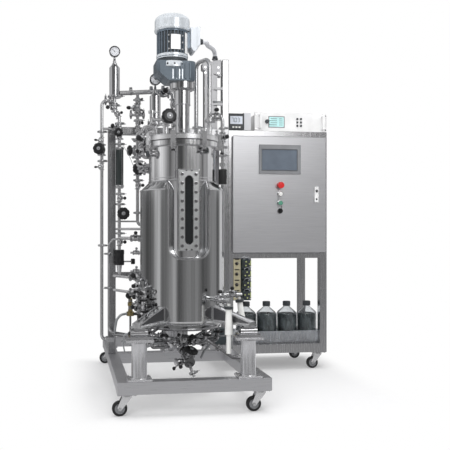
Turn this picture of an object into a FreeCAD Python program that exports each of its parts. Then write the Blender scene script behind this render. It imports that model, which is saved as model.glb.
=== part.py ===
"""Pilot-scale stainless bioreactor: a jacketed vessel on a wheeled skid with its piping rack,
top drive, pumps and feed bottles, bolted to a control stand with a door cabinet.

All lengths are millimetres.  Every piece is drawn about the vessel's axis (x to the right, y to
the back, z up from the floor) and then set at the vessel's place, so that the frame's origin is
under the middle of the whole machine."""
import FreeCAD, Part
import math
import os
import Sketcher
from FreeCAD import Placement, Rotation, Vector

SIZES = {
    # place of the vessel's axis in the machine's own frame
    "vessel_x": -286, "vessel_y": -286,
    # skid
    "skid_width": 760, "skid_depth": 1348, "skid_front": -388, "beam": 60,
    "middle_beam_y": 350, "caster_height": 111,
    # casters
    "wheel_radius": 37.5, "wheel_width": 26, "caster_trail": 34, "caster_inset": 47,
    "caster_plate": 5, "caster_plate_length": 95, "axle_radius": 4, "running_gap": 0.05,
    "swivel_gap": 0.3, "fork_leg": 3, "fork_gap": 3,
    # load pillars and load cells
    "pillar_x": 272, "pillar_y": -340, "pillar_radius": 38, "pillar_foot": 120,
    "foot_thickness": 10, "pillar_cap": 133, "cap_thickness": 12, "cap_top": 370,
    "cell_radius": 21, "cell_length": 84, "cell_pad": 8,
    # vessel
    "vessel_radius": 180, "vessel_wall": 4, "vessel_bottom": 402, "knuckle": 50,
    "vessel_top": 1367, "flange_radius": 200, "flange_thickness": 30, "lid_thickness": 30,
    "outlet_radius": 30, "outlet_bottom": 318,
    # jacket
    "jacket_radius": 228, "jacket_wall": 4, "jacket_bottom": 425, "jacket_shoulder": 1108,
    "jacket_top": 1156, "jacket_depth": 58,
    "window_width": 210, "window_bottom": 750, "window_corner": 65, "window_rim": 6,
    "bracket_height": 72, "bracket_plate": 8, "bracket_width": 46,
    # sight glass
    "glass_frame_width": 112, "glass_frame_height": 418, "glass_frame_bottom": 792,
    "glass_frame_stand": 25, "slot_width": 42, "slot_height": 354, "glass_thickness": 12,
    "bolt_pitch": 46, "bolt_column": 36, "bolt_head_radius": 6.5, "bolt_head_height": 5,
    # lid clamps
    "clamp_count": 8, "clamp_width": 26, "clamp_jaw": 12, "clamp_reach": 20,
    # agitator and drive
    "shaft_radius": 12.5, "shaft_bottom": 470, "impeller_radius": 60, "impeller_pitch": 240,
    "blade_height": 26, "blade_thickness": 3, "blade_length": 30,
    "lantern_radius": 40, "lantern_step_radius": 44, "lantern_step": 1576,
    "lantern_flange_radius": 68.5, "lantern_flange_bottom": 1650, "gear_bottom": 1695,
    "gear_left": 150, "gear_right": 66, "gear_height": 105, "gear_depth": 150,
    "motor_x": -55, "neck_radius": 78, "neck_height": 26, "motor_radius": 84,
    "motor_bottom": 1826, "motor_top": 1968, "fin_count": 28, "fin_depth": 8, "fin_thickness": 3,
    "cowl_radius": 94.5, "cowl_top": 2053, "cowl_round": 30,
    "terminal_left": 40, "terminal_right": 89, "terminal_bottom": 1860, "terminal_top": 1990,
    "terminal_depth": 100, "conduit_radius": 12.5,
    # piping rack and hoist column
    "rack_post": 45, "rack_back": 50, "rack_top": 1510, "tall_post": 40, "tall_post_left": 310,
    "low_rail": 30, "low_rail_drop": 100,
    "tall_post_top": 1930, "hoist_left": 200, "hoist_width": 55, "hoist_top": 1862,
    "hoist_hole_radius": 10, "hoist_hole_pitch": 94, "duct_width": 25,
    "arm_left": 187, "arm_right": 302, "arm_top": 1902, "arm_rise": 28, "arm_height": 75,
    # control stand
    "stand_width": 666, "stand_front": 534, "stand_depth": 426, "stand_post": 45,
    "stand_beam": 54, "stand_rail_bottom": 1500, "stand_rail": 30, "shelf": 3,
    "cabinet_bottom": 750, "cabinet_depth": 260, "sheet": 3, "door_inset_left": 37,
    "door_inset_right": 14, "door_height": 735, "door_thickness": 20, "door_gap": 0.3,
    # touch screen, its glass's insets from the bezel, and the latch
    "screen_width": 274, "screen_height": 186, "screen_depth": 7, "screen_z": 1350,
    "glass_left": 18, "glass_right": 25, "glass_low": 24, "glass_high": 31, "glass_depth": 2,
    "latch_inset": 68, "latch_z": 1128, "latch_width": 25, "latch_height": 100, "latch_stand": 16,
    # instruments on top
    "display_room": 184, "analyzer_height": 118, "analyzer_depth": 300, "display_width": 100,
    "display_height": 107, "display_depth": 120,
    # bottles, tray and pumps
    "bottle_radius": 66, "bottle_pitch": 138, "bottle_first": 543, "bottle_height": 180,
    "bottle_shoulder": 45, "neck": 20, "cap_radius": 25, "cap_height": 30,
    "tray_wall": 4, "tray_height": 75, "pump_width": 116, "pump_height": 268, "pump_depth": 150,
    # handwheels
    "grip_depth": 22, "stem_radius": 7,
    # pipework: the rack's pipes stand in one plane
    "pipe_y": 300, "thin_pipe": 9.5, "main_pipe": 13.5, "riser_x": -420, "column_x": -318,
    "second_x": -211, "air_filter_x": -346, "header_z": 1705, "riser_foot": 262,
    "clamp_lip": 9, "clamp_ring": 13,
    # probe sleeves and the jacket pipes that they hang from
    "probe_pipe_z": 545, "probe_pipe": 13, "front_probe_reach": 359, "side_probe_reach": 318,
    "probe_radius": 20, "probe_length": 128,
    # filters and gauges
    "filter_radius": 30, "gauge_radius": 29, "gauge_depth": 24,
}

doc = FreeCAD.newDocument("Bioreactor")
sheet = doc.addObject("Spreadsheet::Sheet", "Sizes")
for row, (alias, value) in enumerate(SIZES.items(), start=1):
    sheet.set(f"A{row}", alias)
    sheet.set(f"B{row}", str(value))
    sheet.setAlias(f"B{row}", alias)
doc.recompute()


class Size(float):
    """A number that also keeps the sheet formula that it was worked out from."""

    def __new__(cls, value, formula=None):
        number = super().__new__(cls, value)
        number.formula = formula or repr(float(value))
        return number

    def joined(self, other, sign, value):
        left, right = (item.formula if isinstance(item, Size) else repr(float(item))
                       for item in (self, other))
        return Size(value, f"({left} {sign} {right})")

    def __add__(self, other):
        return self.joined(other, "+", float(self) + float(other))

    def __radd__(self, other):
        return Size(other) + self

    def __sub__(self, other):
        return self.joined(other, "-", float(self) - float(other))

    def __rsub__(self, other):
        return Size(other) - self

    def __mul__(self, other):
        return self.joined(other, "*", float(self) * float(other))

    def __rmul__(self, other):
        return Size(other) * self

    def __truediv__(self, other):
        return self.joined(other, "/", float(self) / float(other))

    def __neg__(self):
        return Size(0) - self


class Sheet:
    """The driving sizes by name, read from the document's sheet."""

    def __getattr__(self, alias):
        return Size(float(sheet.get(alias)), f"Sizes.{alias}")


S = Sheet()
X_AXIS, Y_AXIS, Z_AXIS = Vector(1, 0, 0), Vector(0, 1, 0), Vector(0, 0, 1)
PLANES = {"top": "XY_Plane", "front": "XZ_Plane", "side": "YZ_Plane"}
FIELDS = {"x": "Placement.Base.x", "y": "Placement.Base.y", "z": "Placement.Base.z"}
nodes = []


def bind(thing, **sizes):
    """Tie an object's properties to the sheet through each size's formula."""
    for field, size in sizes.items():
        size = size if isinstance(size, Size) else Size(size)
        thing.setExpression(FIELDS.get(field, field), size.formula)


def node(label, thing, x=0.0, y=0.0, z=0.0, turn=None):
    """Name a finished piece and set it at its place, measured from the vessel's axis."""
    thing.Label = label
    if turn is not None:
        thing.Placement = Placement(Vector(), turn)
    bind(thing, x=S.vessel_x + x, y=S.vessel_y + y, z=Size(0) + z)
    nodes.append(thing)
    return thing


# ---------------------------------------------------------------- Part primitives and booleans

def block(name, low, high):
    """A box between two corners."""
    solid = doc.addObject("Part::Box", name)
    bind(solid, Length=high[0] - low[0], Width=high[1] - low[1], Height=high[2] - low[2],
         x=low[0], y=low[1], z=low[2])
    return solid


def rod(name, radius, length, start, along=Z_AXIS):
    """A round bar from a start point along an axis."""
    solid = doc.addObject("Part::Cylinder", name)
    solid.Placement = Placement(Vector(), Rotation(Z_AXIS, along))
    bind(solid, Radius=radius, Height=length, x=start[0], y=start[1], z=start[2])
    return solid


def fuse(name, *pieces):
    """Weld pieces into one solid."""
    whole = doc.addObject("Part::MultiFuse", name)
    whole.Shapes = list(pieces)
    whole.Refine = True
    return whole


def cut(name, body, *tools):
    """Take tools away from a body."""
    whole = doc.addObject("Part::Cut", name)
    whole.Base = body
    whole.Tool = tools[0] if len(tools) == 1 else fuse(name + "_tools", *tools)
    whole.Refine = True
    return whole


def common(name, *pieces):
    """Keep only what all pieces share."""
    whole = doc.addObject("Part::MultiCommon", name)
    whole.Shapes = list(pieces)
    return whole


def group(name, *pieces):
    """Hold separate solids together in one piece list."""
    whole = doc.addObject("Part::Compound", name)
    whole.Links = list(pieces)
    return whole


def fixed_shape(name, shape):
    """An object whose form comes from shape functions, for runs of pipe and their fittings."""
    thing = doc.addObject("Part::Feature", name)
    thing.Shape = shape
    return thing


# ---------------------------------------------------------------- PartDesign bodies

def new_body(name):
    return doc.addObject("PartDesign::Body", name)


def new_sketch(body, name, plane, offset=0.0):
    """An empty sketch on one of the body's origin planes, moved along the plane's normal."""
    sketch = body.newObject("Sketcher::SketchObject", name)
    role = PLANES[plane]
    sketch.AttachmentSupport = [next(item for item in body.Origin.OriginFeatures
                                     if item.Role == role), ""]
    sketch.MapMode = "FlatFace"
    size = offset if isinstance(offset, Size) else Size(offset)
    sketch.setExpression("AttachmentOffset.Base.z", size.formula)
    return sketch


def hold(sketch, kind, geometry, point, size):
    """Fix one coordinate of a sketch point to a size."""
    place = sketch.addConstraint(Sketcher.Constraint(kind, -1, 1, geometry, point, float(size)))
    if isinstance(size, Size):
        sketch.setExpression(f"Constraints[{place}]", size.formula)


def arc_between(start, end, radius):
    """The short arc of a circle from start to end: a positive radius turns to the left."""
    middle, chord = (start + end) / 2, end - start
    side = Vector(-chord.y, chord.x, 0).normalize()
    reach = math.sqrt(radius ** 2 - (chord.Length / 2) ** 2)
    centre = middle + side * math.copysign(reach, radius)
    first, last = (start, end) if radius > 0 else (end, start)
    angles = [math.atan2(point.y - centre.y, point.x - centre.x) for point in (first, last)]
    return Part.ArcOfCircle(Part.Circle(centre, Z_AXIS, abs(radius)), *angles)


def outline(sketch, *corners):
    """A closed outline: each corner is (x, y), or (x, y, radius) where an arc leads to it."""
    start = sketch.GeometryCount
    count = len(corners)
    points = [Vector(corner[0], corner[1], 0) for corner in corners]
    ends = []
    for index, corner in enumerate(corners):
        before, here = points[index - 1], points[index]
        if len(corner) == 3:
            place = sketch.addGeometry(arc_between(before, here, float(corner[2])))
            ends.append((1, 2) if corner[2] > 0 else (2, 1))
            radius = sketch.addConstraint(Sketcher.Constraint("Radius", place,
                                                              abs(float(corner[2]))))
            if isinstance(corner[2], Size):
                sketch.setExpression(f"Constraints[{radius}]", f"abs({corner[2].formula})")
        else:
            place = sketch.addGeometry(Part.LineSegment(before, here))
            ends.append((1, 2))
    for index, corner in enumerate(corners):
        after = (index + 1) % count
        sketch.addConstraint(Sketcher.Constraint("Coincident", start + index, ends[index][1],
                                                 start + after, ends[after][0]))
        hold(sketch, "DistanceX", start + index, ends[index][1], corner[0])
        hold(sketch, "DistanceY", start + index, ends[index][1], corner[1])


def rectangle(sketch, left, bottom, right, top):
    outline(sketch, (left, bottom), (right, bottom), (right, top), (left, top))


def circle(sketch, x, y, radius):
    place = sketch.addGeometry(Part.Circle(Vector(x, y, 0), Z_AXIS, float(radius)))
    fixed = sketch.addConstraint(Sketcher.Constraint("Radius", place, float(radius)))
    if isinstance(radius, Size):
        sketch.setExpression(f"Constraints[{fixed}]", radius.formula)
    hold(sketch, "DistanceX", place, 3, x)
    hold(sketch, "DistanceY", place, 3, y)


def turned(body, sketch, groove=False):
    """Turn a half outline about the upright axis of its sketch."""
    kind = "PartDesign::Groove" if groove else "PartDesign::Revolution"
    turn = body.newObject(kind, sketch.Name + "_turn")
    turn.Profile = sketch
    turn.ReferenceAxis = (sketch, ["V_Axis"])
    turn.Angle = 360
    return turn


def pad(body, sketch, length, both_ways=False, back=False):
    """Raise an outline, one way or evenly to both sides of its plane."""
    raised = body.newObject("PartDesign::Pad", sketch.Name + "_pad")
    raised.Profile = sketch
    raised.Midplane = both_ways
    raised.Reversed = back
    bind(raised, Length=length)
    return raised


def pocket(body, sketch, length, both_ways=False, back=False):
    """Sink an outline, one way or evenly to both sides of its plane."""
    sunk = body.newObject("PartDesign::Pocket", sketch.Name + "_pocket")
    sunk.Profile = sketch
    sunk.Midplane = both_ways
    sunk.Reversed = back
    bind(sunk, Length=length)
    return sunk


def repeat_around(body, feature, sketch, count):
    """Repeat a feature evenly about its sketch's normal axis."""
    pattern = body.newObject("PartDesign::PolarPattern", feature.Name + "_around")
    pattern.Originals = [feature]
    pattern.Axis = (sketch, ["N_Axis"])
    pattern.Angle = 360
    bind(pattern, Occurrences=count)
    body.Tip = pattern
    return pattern


def repeat_along(body, feature, sketch, axis, length, count):
    """Repeat a feature in a row along one of its sketch's axes."""
    pattern = body.newObject("PartDesign::LinearPattern", feature.Name + "_row")
    pattern.Originals = [feature]
    pattern.Direction = (sketch, [axis])
    bind(pattern, Length=length, Occurrences=count)
    body.Tip = pattern
    return pattern


# ---------------------------------------------------------------- casters

def caster(place_name, x, y):
    """A swivel fork under its corner and the wheel on the fork's axle."""
    crown_top = S.caster_height - S.caster_plate - S.swivel_gap
    leg_inside = S.wheel_width / 2 + S.fork_gap
    leg_outside = leg_inside + S.fork_leg
    fork = new_body(place_name + "_fork_body")
    side = new_sketch(fork, place_name + "_side", "front")
    outline(side, (-S.caster_trail - 12, S.wheel_radius + 8), (-S.caster_trail - 5, S.wheel_radius - 9),
            (-S.caster_trail + 5, S.wheel_radius - 9), (Size(24), crown_top - 12), (Size(24), crown_top),
            (Size(-24), crown_top), (Size(-24), crown_top - 12))
    pad(fork, side, leg_outside * 2, both_ways=True)
    gap = new_sketch(fork, place_name + "_gap", "front")
    rectangle(gap, -S.caster_trail - 30, Size(-1), Size(40), crown_top - 8)
    pocket(fork, gap, leg_inside * 2, both_ways=True)
    axle = new_sketch(fork, place_name + "_axle", "front")
    circle(axle, -S.caster_trail, S.wheel_radius, S.axle_radius)
    pad(fork, axle, leg_outside * 2 + 6, both_ways=True)
    node(place_name + "_caster_fork", fork, x, y)

    bore = S.axle_radius + S.running_gap
    wheel = cut(place_name + "_wheel_cut",
                rod(place_name + "_tyre", S.wheel_radius, S.wheel_width,
                    (Size(0), S.wheel_width / 2, Size(0)), -Y_AXIS),
                rod(place_name + "_bore", bore, S.wheel_width + 2,
                    (Size(0), S.wheel_width / 2 + 1, Size(0)), -Y_AXIS))
    node(place_name + "_caster_wheel", wheel, x - S.caster_trail, y, S.wheel_radius)


def caster_pad(name, x, y):
    """The plate that a caster is bolted to, welded under a frame's corner."""
    half = S.caster_plate_length / 2
    return block(name, (x - half, y - half * 0.8, S.caster_height - S.caster_plate),
                 (x + half, y + half * 0.8, S.caster_height))


# ---------------------------------------------------------------- skid

skid_left = -S.skid_width / 2
skid_right = S.skid_width / 2
skid_back = S.skid_front + S.skid_depth
beam_top = S.caster_height + S.beam
stand_left = skid_right
stand_right = stand_left + S.stand_width
stand_back = S.stand_front + S.stand_depth
skid_corners = {"front_left": (skid_left + S.caster_inset, S.skid_front + S.caster_inset),
                "front_right": (skid_right - S.caster_inset, S.skid_front + S.caster_inset),
                "back_left": (skid_left + S.caster_inset, skid_back - S.caster_inset),
                "back_right": (skid_right - S.caster_inset, skid_back - S.caster_inset)}
stand_corners = {"stand_front": (stand_right - S.caster_inset, S.stand_front + S.caster_inset),
                 "stand_back": (stand_right - S.caster_inset, stand_back - S.caster_inset)}
pillar_places = {"left": (-S.pillar_x, S.pillar_y), "right": (S.pillar_x, S.pillar_y),
                 "back": (Size(0), S.middle_beam_y + S.beam / 2)}


def make_base_frame():
    """Square-tube rectangle with a cross beam, cut from one outline, and its caster plates."""
    frame = new_body("base_frame_body")
    plan = new_sketch(frame, "base_plan", "top", S.caster_height)
    rectangle(plan, skid_left, S.skid_front, skid_right, skid_back)
    rectangle(plan, skid_left + S.beam, S.skid_front + S.beam, skid_right - S.beam, S.middle_beam_y)
    rectangle(plan, skid_left + S.beam, S.middle_beam_y + S.beam, skid_right - S.beam,
              skid_back - S.beam)
    pad(frame, plan, S.beam)
    plates = [caster_pad(f"{name}_plate", *place) for name, place in skid_corners.items()]
    node("base_frame", fuse("base_frame_weld", frame, *plates))


def pillar(name, x, y):
    """A round pillar between its foot plate and cap plate."""
    cap_bottom = S.cap_top - S.cap_thickness
    foot_half, cap_half = S.pillar_foot / 2, S.pillar_cap / 2
    foot = block(name + "_foot", (x - foot_half, y - 46, beam_top),
                 (x + foot_half, y + 46, beam_top + S.foot_thickness))
    tube = rod(name + "_tube", S.pillar_radius, cap_bottom - beam_top, (x, y, beam_top))
    cap = block(name + "_cap", (x - cap_half, y - 50, cap_bottom), (x + cap_half, y + 50, S.cap_top))
    return fuse(name + "_weld", foot, tube, cap)


def load_cell(name, x, y):
    """A round shear-beam cell on its base plate, with the flat seat that carries the vessel."""
    axis_z = S.cap_top + S.cell_radius + S.cell_pad
    half = S.cell_length / 2
    base = block(name + "_base", (x - half - 12, y - 36, S.cap_top),
                 (x + half + 12, y + 36, S.cap_top + S.cell_pad + 6))
    beam = rod(name + "_beam", S.cell_radius, S.cell_length, (x - half, y, axis_z), X_AXIS)
    seat = block(name + "_seat", (x - 28, y - 28, axis_z + S.cell_radius - 6),
                 (x + 28, y + 28, cell_top))
    return fuse(name + "_weld", base, beam, seat)


cell_top = S.cap_top + S.cell_radius * 2 + S.cell_pad + 4


def make_supports():
    node("support_pillars", group("support_pillars_set", *[
        pillar(f"{name}_pillar", *place) for name, place in pillar_places.items()]))
    node("load_cells", group("load_cells_set", *[
        load_cell(f"{name}_cell", *place) for name, place in pillar_places.items()]))


# ---------------------------------------------------------------- vessel and jacket

def dished_outline(sketch, radius, bottom, knuckle, rise, top):
    """Half outline of a filled vessel: shallow dish, knuckle, upright wall, flat top."""
    outline(sketch, (Size(0), bottom), (radius - knuckle, bottom + rise, radius * 1.9),
            (radius, bottom + rise + knuckle, knuckle * 1.05), (radius, top), (Size(0), top))


def make_vessel_shell():
    """Inner vessel: turned shell with its top flange, drain nozzle and sight-glass slot."""
    shell = new_body("vessel_shell_body")
    outside = new_sketch(shell, "shell_outside", "front")
    dished_outline(outside, S.vessel_radius, S.vessel_bottom, S.knuckle, Size(24), S.vessel_top)
    turned(shell, outside)
    flange = new_sketch(shell, "shell_flange", "top", S.vessel_top - S.flange_thickness)
    circle(flange, Size(0), Size(0), S.flange_radius)
    pad(shell, flange, S.flange_thickness)
    nozzle = new_sketch(shell, "shell_nozzle", "top", S.outlet_bottom)
    circle(nozzle, Size(0), Size(0), S.outlet_radius)
    pad(shell, nozzle, S.vessel_bottom - S.outlet_bottom + 10)
    inside = new_sketch(shell, "shell_inside", "front")
    dished_outline(inside, S.vessel_radius - S.vessel_wall, S.vessel_bottom + S.vessel_wall,
                   S.knuckle - S.vessel_wall, Size(24), S.vessel_top + 1)
    turned(shell, inside, groove=True)
    drain = new_sketch(shell, "shell_drain", "top", S.outlet_bottom - 1)
    circle(drain, Size(0), Size(0), S.outlet_radius - S.vessel_wall)
    pocket(shell, drain, S.vessel_bottom - S.outlet_bottom + 12, back=True)
    slot = new_sketch(shell, "shell_slot", "front")
    slot_outline(slot, S.slot_width / 2 + 8)
    pocket(shell, slot, S.vessel_radius + 5, back=True)
    node("vessel_shell", shell)


glass_middle = S.glass_frame_bottom + S.glass_frame_height / 2


def slot_outline(sketch, half_width):
    """An upright slot with round ends, on the sight glass's centre line."""
    reach = S.slot_height / 2 - S.slot_width / 2
    low, high = glass_middle - reach, glass_middle + reach
    outline(sketch, (-half_width, low), (Size(0), low - half_width, half_width),
            (half_width, low, half_width), (half_width, high), (Size(0), high + half_width, half_width),
            (-half_width, high, half_width))


def window_outline(sketch, spread):
    """The jacket's U-shaped window, open at the top, widened by a spread."""
    half, bottom, corner = S.window_width / 2 + spread, S.window_bottom - spread, S.window_corner
    top = S.jacket_top + 20
    outline(sketch, (-half, top), (-half, bottom + corner), (-half + corner, bottom, corner),
            (half - corner, bottom), (half, bottom + corner, corner), (half, top))


def jacket_solid(name, wall):
    """The jacket's filled form, shrunk by a wall: dish, wall and cone shoulder."""
    body = new_body(name)
    half = new_sketch(body, name + "_half", "front")
    radius, bottom = S.jacket_radius - wall, S.jacket_bottom + wall - S.jacket_depth
    knuckle, rise = 46 - wall, Size(18)
    outline(half, (Size(0), bottom), (radius - knuckle, bottom + rise, radius * 1.9),
            (radius, bottom + rise + knuckle, knuckle * 1.05), (radius, S.jacket_shoulder - wall),
            (S.vessel_radius - 1, S.jacket_top - wall), (Size(0), S.jacket_top - wall))
    turned(body, half)
    return body


def bracket(name, x, y):
    """A welded box bracket with a sloped front, on a foot that stands on the load cell."""
    reach = math.hypot(x, y)
    angle = math.degrees(math.atan2(y, x))
    foot_top = cell_top + S.bracket_plate
    tip = Size(reach + 26)
    root = S.jacket_radius - 40
    wedge = new_body(name + "_wedge")
    shape = new_sketch(wedge, name + "_shape", "front")
    outline(shape, (root, foot_top), (tip, foot_top), (tip, foot_top + 12),
            (S.jacket_radius + 8, foot_top + S.bracket_height), (root, foot_top + S.bracket_height))
    pad(wedge, shape, S.bracket_width, both_ways=True)
    half = S.bracket_width / 2 + 10
    foot = block(name + "_foot", (S.jacket_radius - 20, -half, cell_top), (tip, half, foot_top))
    whole = fuse(name + "_weld", foot, wedge)
    whole.Placement = Placement(Vector(), Rotation(Z_AXIS, angle))
    return whole


probe_way = Vector(math.cos(math.radians(-59.7)), math.sin(math.radians(-59.7)), 0)


def make_jacket():
    """Thin jacket with a reveal around its window, welded brackets and two side nozzles."""
    filled = jacket_solid("jacket_outside", Size(0))
    hollow = jacket_solid("jacket_inside", S.jacket_wall)
    vessel = new_body("jacket_vessel")
    half = new_sketch(vessel, "jacket_vessel_half", "front")
    dished_outline(half, S.vessel_radius, S.vessel_bottom, S.knuckle, Size(24), S.vessel_top)
    turned(vessel, half)
    openings = {}
    for name, spread, depth in (("window", Size(0), S.jacket_radius + 20),
                                ("reveal", S.window_rim, S.jacket_radius + 2)):
        body = new_body(name + "_prism")
        shape = new_sketch(body, name + "_shape", "front", S.vessel_radius * 0.7)
        window_outline(shape, spread)
        pad(body, shape, depth - S.vessel_radius * 0.7)
        openings[name] = body
    ring = common("reveal_block", openings["reveal"], filled)
    brackets = [bracket(f"{name}_bracket", *place) for name, place in pillar_places.items()]
    solid = fuse("jacket_skin", cut("jacket_wall_shell", filled, hollow), ring)
    trimmed = cut("brackets_trimmed", fuse("brackets_all", *brackets),
                  jacket_solid("jacket_trim", S.jacket_wall / 2))
    whole = fuse("jacket_with_brackets", solid, trimmed)
    root = S.jacket_radius - 8
    nozzles_out = [rod(name, S.probe_pipe, reach + 14 - root,
                       (root * along.x, root * along.y, S.probe_pipe_z), along)
                   for name, reach, along in (("jacket_side_pipe", S.side_probe_reach, X_AXIS),
                                              ("jacket_front_pipe", S.front_probe_reach, probe_way))]
    outlet = rod("jacket_outlet_hole", S.outlet_radius, Size(200), (Size(0), Size(0), Size(300)))
    node("vessel_jacket", cut("jacket_cut", fuse("jacket_full", whole, *nozzles_out),
                              fuse("jacket_tools", openings["window"], vessel, outlet)))


# ---------------------------------------------------------------- sight glass

glass_front = -(S.vessel_radius + S.glass_frame_stand)


def make_sight_glass():
    """Bolted frame on the vessel wall with a toughened strip of glass behind its slot."""
    half, top = S.glass_frame_width / 2, S.glass_frame_bottom + S.glass_frame_height
    frame = new_body("glass_frame_body")
    plate = new_sketch(frame, "glass_frame_plate", "front", -glass_front)
    rectangle(plate, -half, S.glass_frame_bottom, half, top)
    pad(frame, plate, S.glass_frame_stand + 18, back=True)
    window = new_sketch(frame, "glass_frame_slot", "front", -glass_front)
    slot_outline(window, S.slot_width / 2)
    pocket(frame, window, S.glass_frame_stand + 20)
    seat = new_sketch(frame, "glass_frame_seat", "front", -glass_front - 10)
    slot_outline(seat, S.slot_width / 2 + 8)
    pocket(frame, seat, S.glass_frame_stand + 10)
    vessel = rod("glass_frame_vessel", S.vessel_radius, Size(700),
                 (Size(0), Size(0), S.glass_frame_bottom - 100))
    rows = [bolt_row(name, column) for name, column in (("left_bolts", -S.bolt_column),
                                                        ("right_bolts", S.bolt_column))]
    node("sight_glass_frame", fuse("glass_frame_weld", cut("glass_frame_fit", frame, vessel), *rows))

    pane = new_body("sight_glass_body")
    shape = new_sketch(pane, "pane_shape", "front", -glass_front - 10.3)
    slot_outline(shape, S.slot_width / 2 + 7.7)
    pad(pane, shape, S.glass_thickness, back=True)
    node("sight_glass", pane)


def bolt_row(name, column):
    """Nine bolt heads in a column, spread evenly about the glass's middle."""
    heads = [rod(f"{name}_{place}", S.bolt_head_radius, S.bolt_head_height + 1,
                 (column, glass_front + 1, glass_middle + S.bolt_pitch * (place - 4)), -Y_AXIS)
             for place in range(9)]
    return fuse(name + "_set", *heads)


# ---------------------------------------------------------------- lid, clamps and lantern

lid_top = S.vessel_top + S.lid_thickness
nozzles = {
    # name: distance from the axis, angle in degrees, radius, height above the lid
    "spare_port": (142, -42, 19, 42),
    "exhaust_port": (165.6, 144.6, 14, 85),
    "feed_port": (135, -140, 15, 60),
    "vent_port": (155, 5, 12, 70),
    "return_port": (150, 48, 12, 45),
    "steam_port": (150, -18, 12, 55),
    "air_port": (135, 90, 14, 36),
}


def make_lid():
    """Lid disc with its raised hub, welded nozzles with ferrule rims, and the shaft bore."""
    lid = rod("lid_disc", S.flange_radius, S.lid_thickness, (Size(0), Size(0), S.vessel_top))
    hub = rod("lid_hub", S.lantern_flange_radius, Size(14), (Size(0), Size(0), lid_top - 1))
    pieces, bores = [lid, hub], []
    for name, (reach, angle, radius, height) in nozzles.items():
        x = Size(reach * math.cos(math.radians(angle)))
        y = Size(reach * math.sin(math.radians(angle)))
        pieces.append(rod(name, Size(radius), Size(height), (x, y, lid_top - 2)))
        pieces.append(rod(name + "_rim", Size(radius + 7), Size(7), (x, y, lid_top + height - 9)))
        bores.append(rod(name + "_bore", Size(radius - 3), height + S.lid_thickness + 4,
                         (x, y, S.vessel_top - 2)))
    bores.append(rod("shaft_seal_bore", S.shaft_radius + S.running_gap, S.lid_thickness + 20,
                     (Size(0), Size(0), S.vessel_top - 2)))
    node("vessel_lid", cut("lid_cut", fuse("lid_weld", *pieces), *bores))


def make_clamps():
    """C clamps around the two flanges, each with its tightening bolt."""
    low, high = S.vessel_top - S.flange_thickness - 0.3, lid_top + 0.3
    inner, outer = S.flange_radius - S.clamp_reach, S.flange_radius + 16
    half = S.clamp_width / 2
    clamps = []
    for place in range(int(S.clamp_count)):
        name = f"clamp_{place + 1}"
        jaws = block(name + "_jaws", (inner, -half, low - S.clamp_jaw),
                     (outer, half, high + S.clamp_jaw))
        mouth = block(name + "_mouth", (inner - 1, -half - 1, low),
                      (S.flange_radius + 0.3, half + 1, high))
        screw = rod(name + "_screw", Size(6), S.clamp_jaw + 16,
                    (inner + 10, Size(0), high + 0.5))
        whole = fuse(name, cut(name + "_frame", jaws, mouth), screw)
        whole.Placement = Placement(Vector(), Rotation(Z_AXIS, (place + 0.5) * 360 / S.clamp_count))
        clamps.append(whole)
    node("lid_clamps", group("lid_clamps_set", *clamps))


def make_lantern():
    """Stepped bearing tube that carries the drive, turned hollow for the shaft."""
    body = new_body("lantern_body")
    half = new_sketch(body, "lantern_half", "front")
    foot = lid_top + 13.3
    clear, seal = S.shaft_radius + 12, S.shaft_radius + S.running_gap
    flange = S.lantern_flange_bottom
    outline(half, (seal, foot), (S.lantern_radius + 16, foot), (S.lantern_radius + 16, foot + 10),
            (S.lantern_radius, foot + 10), (S.lantern_radius, S.lantern_step),
            (S.lantern_step_radius, S.lantern_step), (S.lantern_step_radius, flange),
            (S.lantern_flange_radius, flange + 10), (S.lantern_flange_radius, S.gear_bottom - 0.3),
            (seal, S.gear_bottom - 0.3), (seal, flange), (clear, flange - 10), (clear, foot + 30),
            (seal, foot + 20))
    turned(body, half)
    node("drive_lantern", body)


# ---------------------------------------------------------------- agitator and gear motor

def turbine(name, z):
    """A hub and disc with six flat blades around it."""
    body = new_body(name + "_body")
    hub = new_sketch(body, name + "_hub", "top", z - S.blade_height / 2)
    circle(hub, Size(0), Size(0), S.shaft_radius + 8)
    pad(body, hub, S.blade_height)
    disc = new_sketch(body, name + "_disc", "top", z - S.blade_thickness / 2)
    circle(disc, Size(0), Size(0), S.impeller_radius * 0.72)
    pad(body, disc, S.blade_thickness)
    shape = new_sketch(body, name + "_blade", "top", z - S.blade_height / 2)
    rectangle(shape, S.impeller_radius - S.blade_length, -S.blade_thickness / 2,
              S.impeller_radius, S.blade_thickness / 2)
    repeat_around(body, pad(body, shape, S.blade_height), shape, Size(6))
    return body


def make_agitator():
    """Shaft with three disc turbines, carried by the lantern's two bearings."""
    shaft = rod("agitator_shaft", S.shaft_radius, S.gear_bottom + 20 - S.shaft_bottom,
                (Size(0), Size(0), S.shaft_bottom))
    turbines = [turbine(f"turbine_{place + 1}", S.shaft_bottom + 40 + S.impeller_pitch * place)
                for place in range(3)]
    node("agitator", fuse("agitator_weld", shaft, *turbines))


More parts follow.
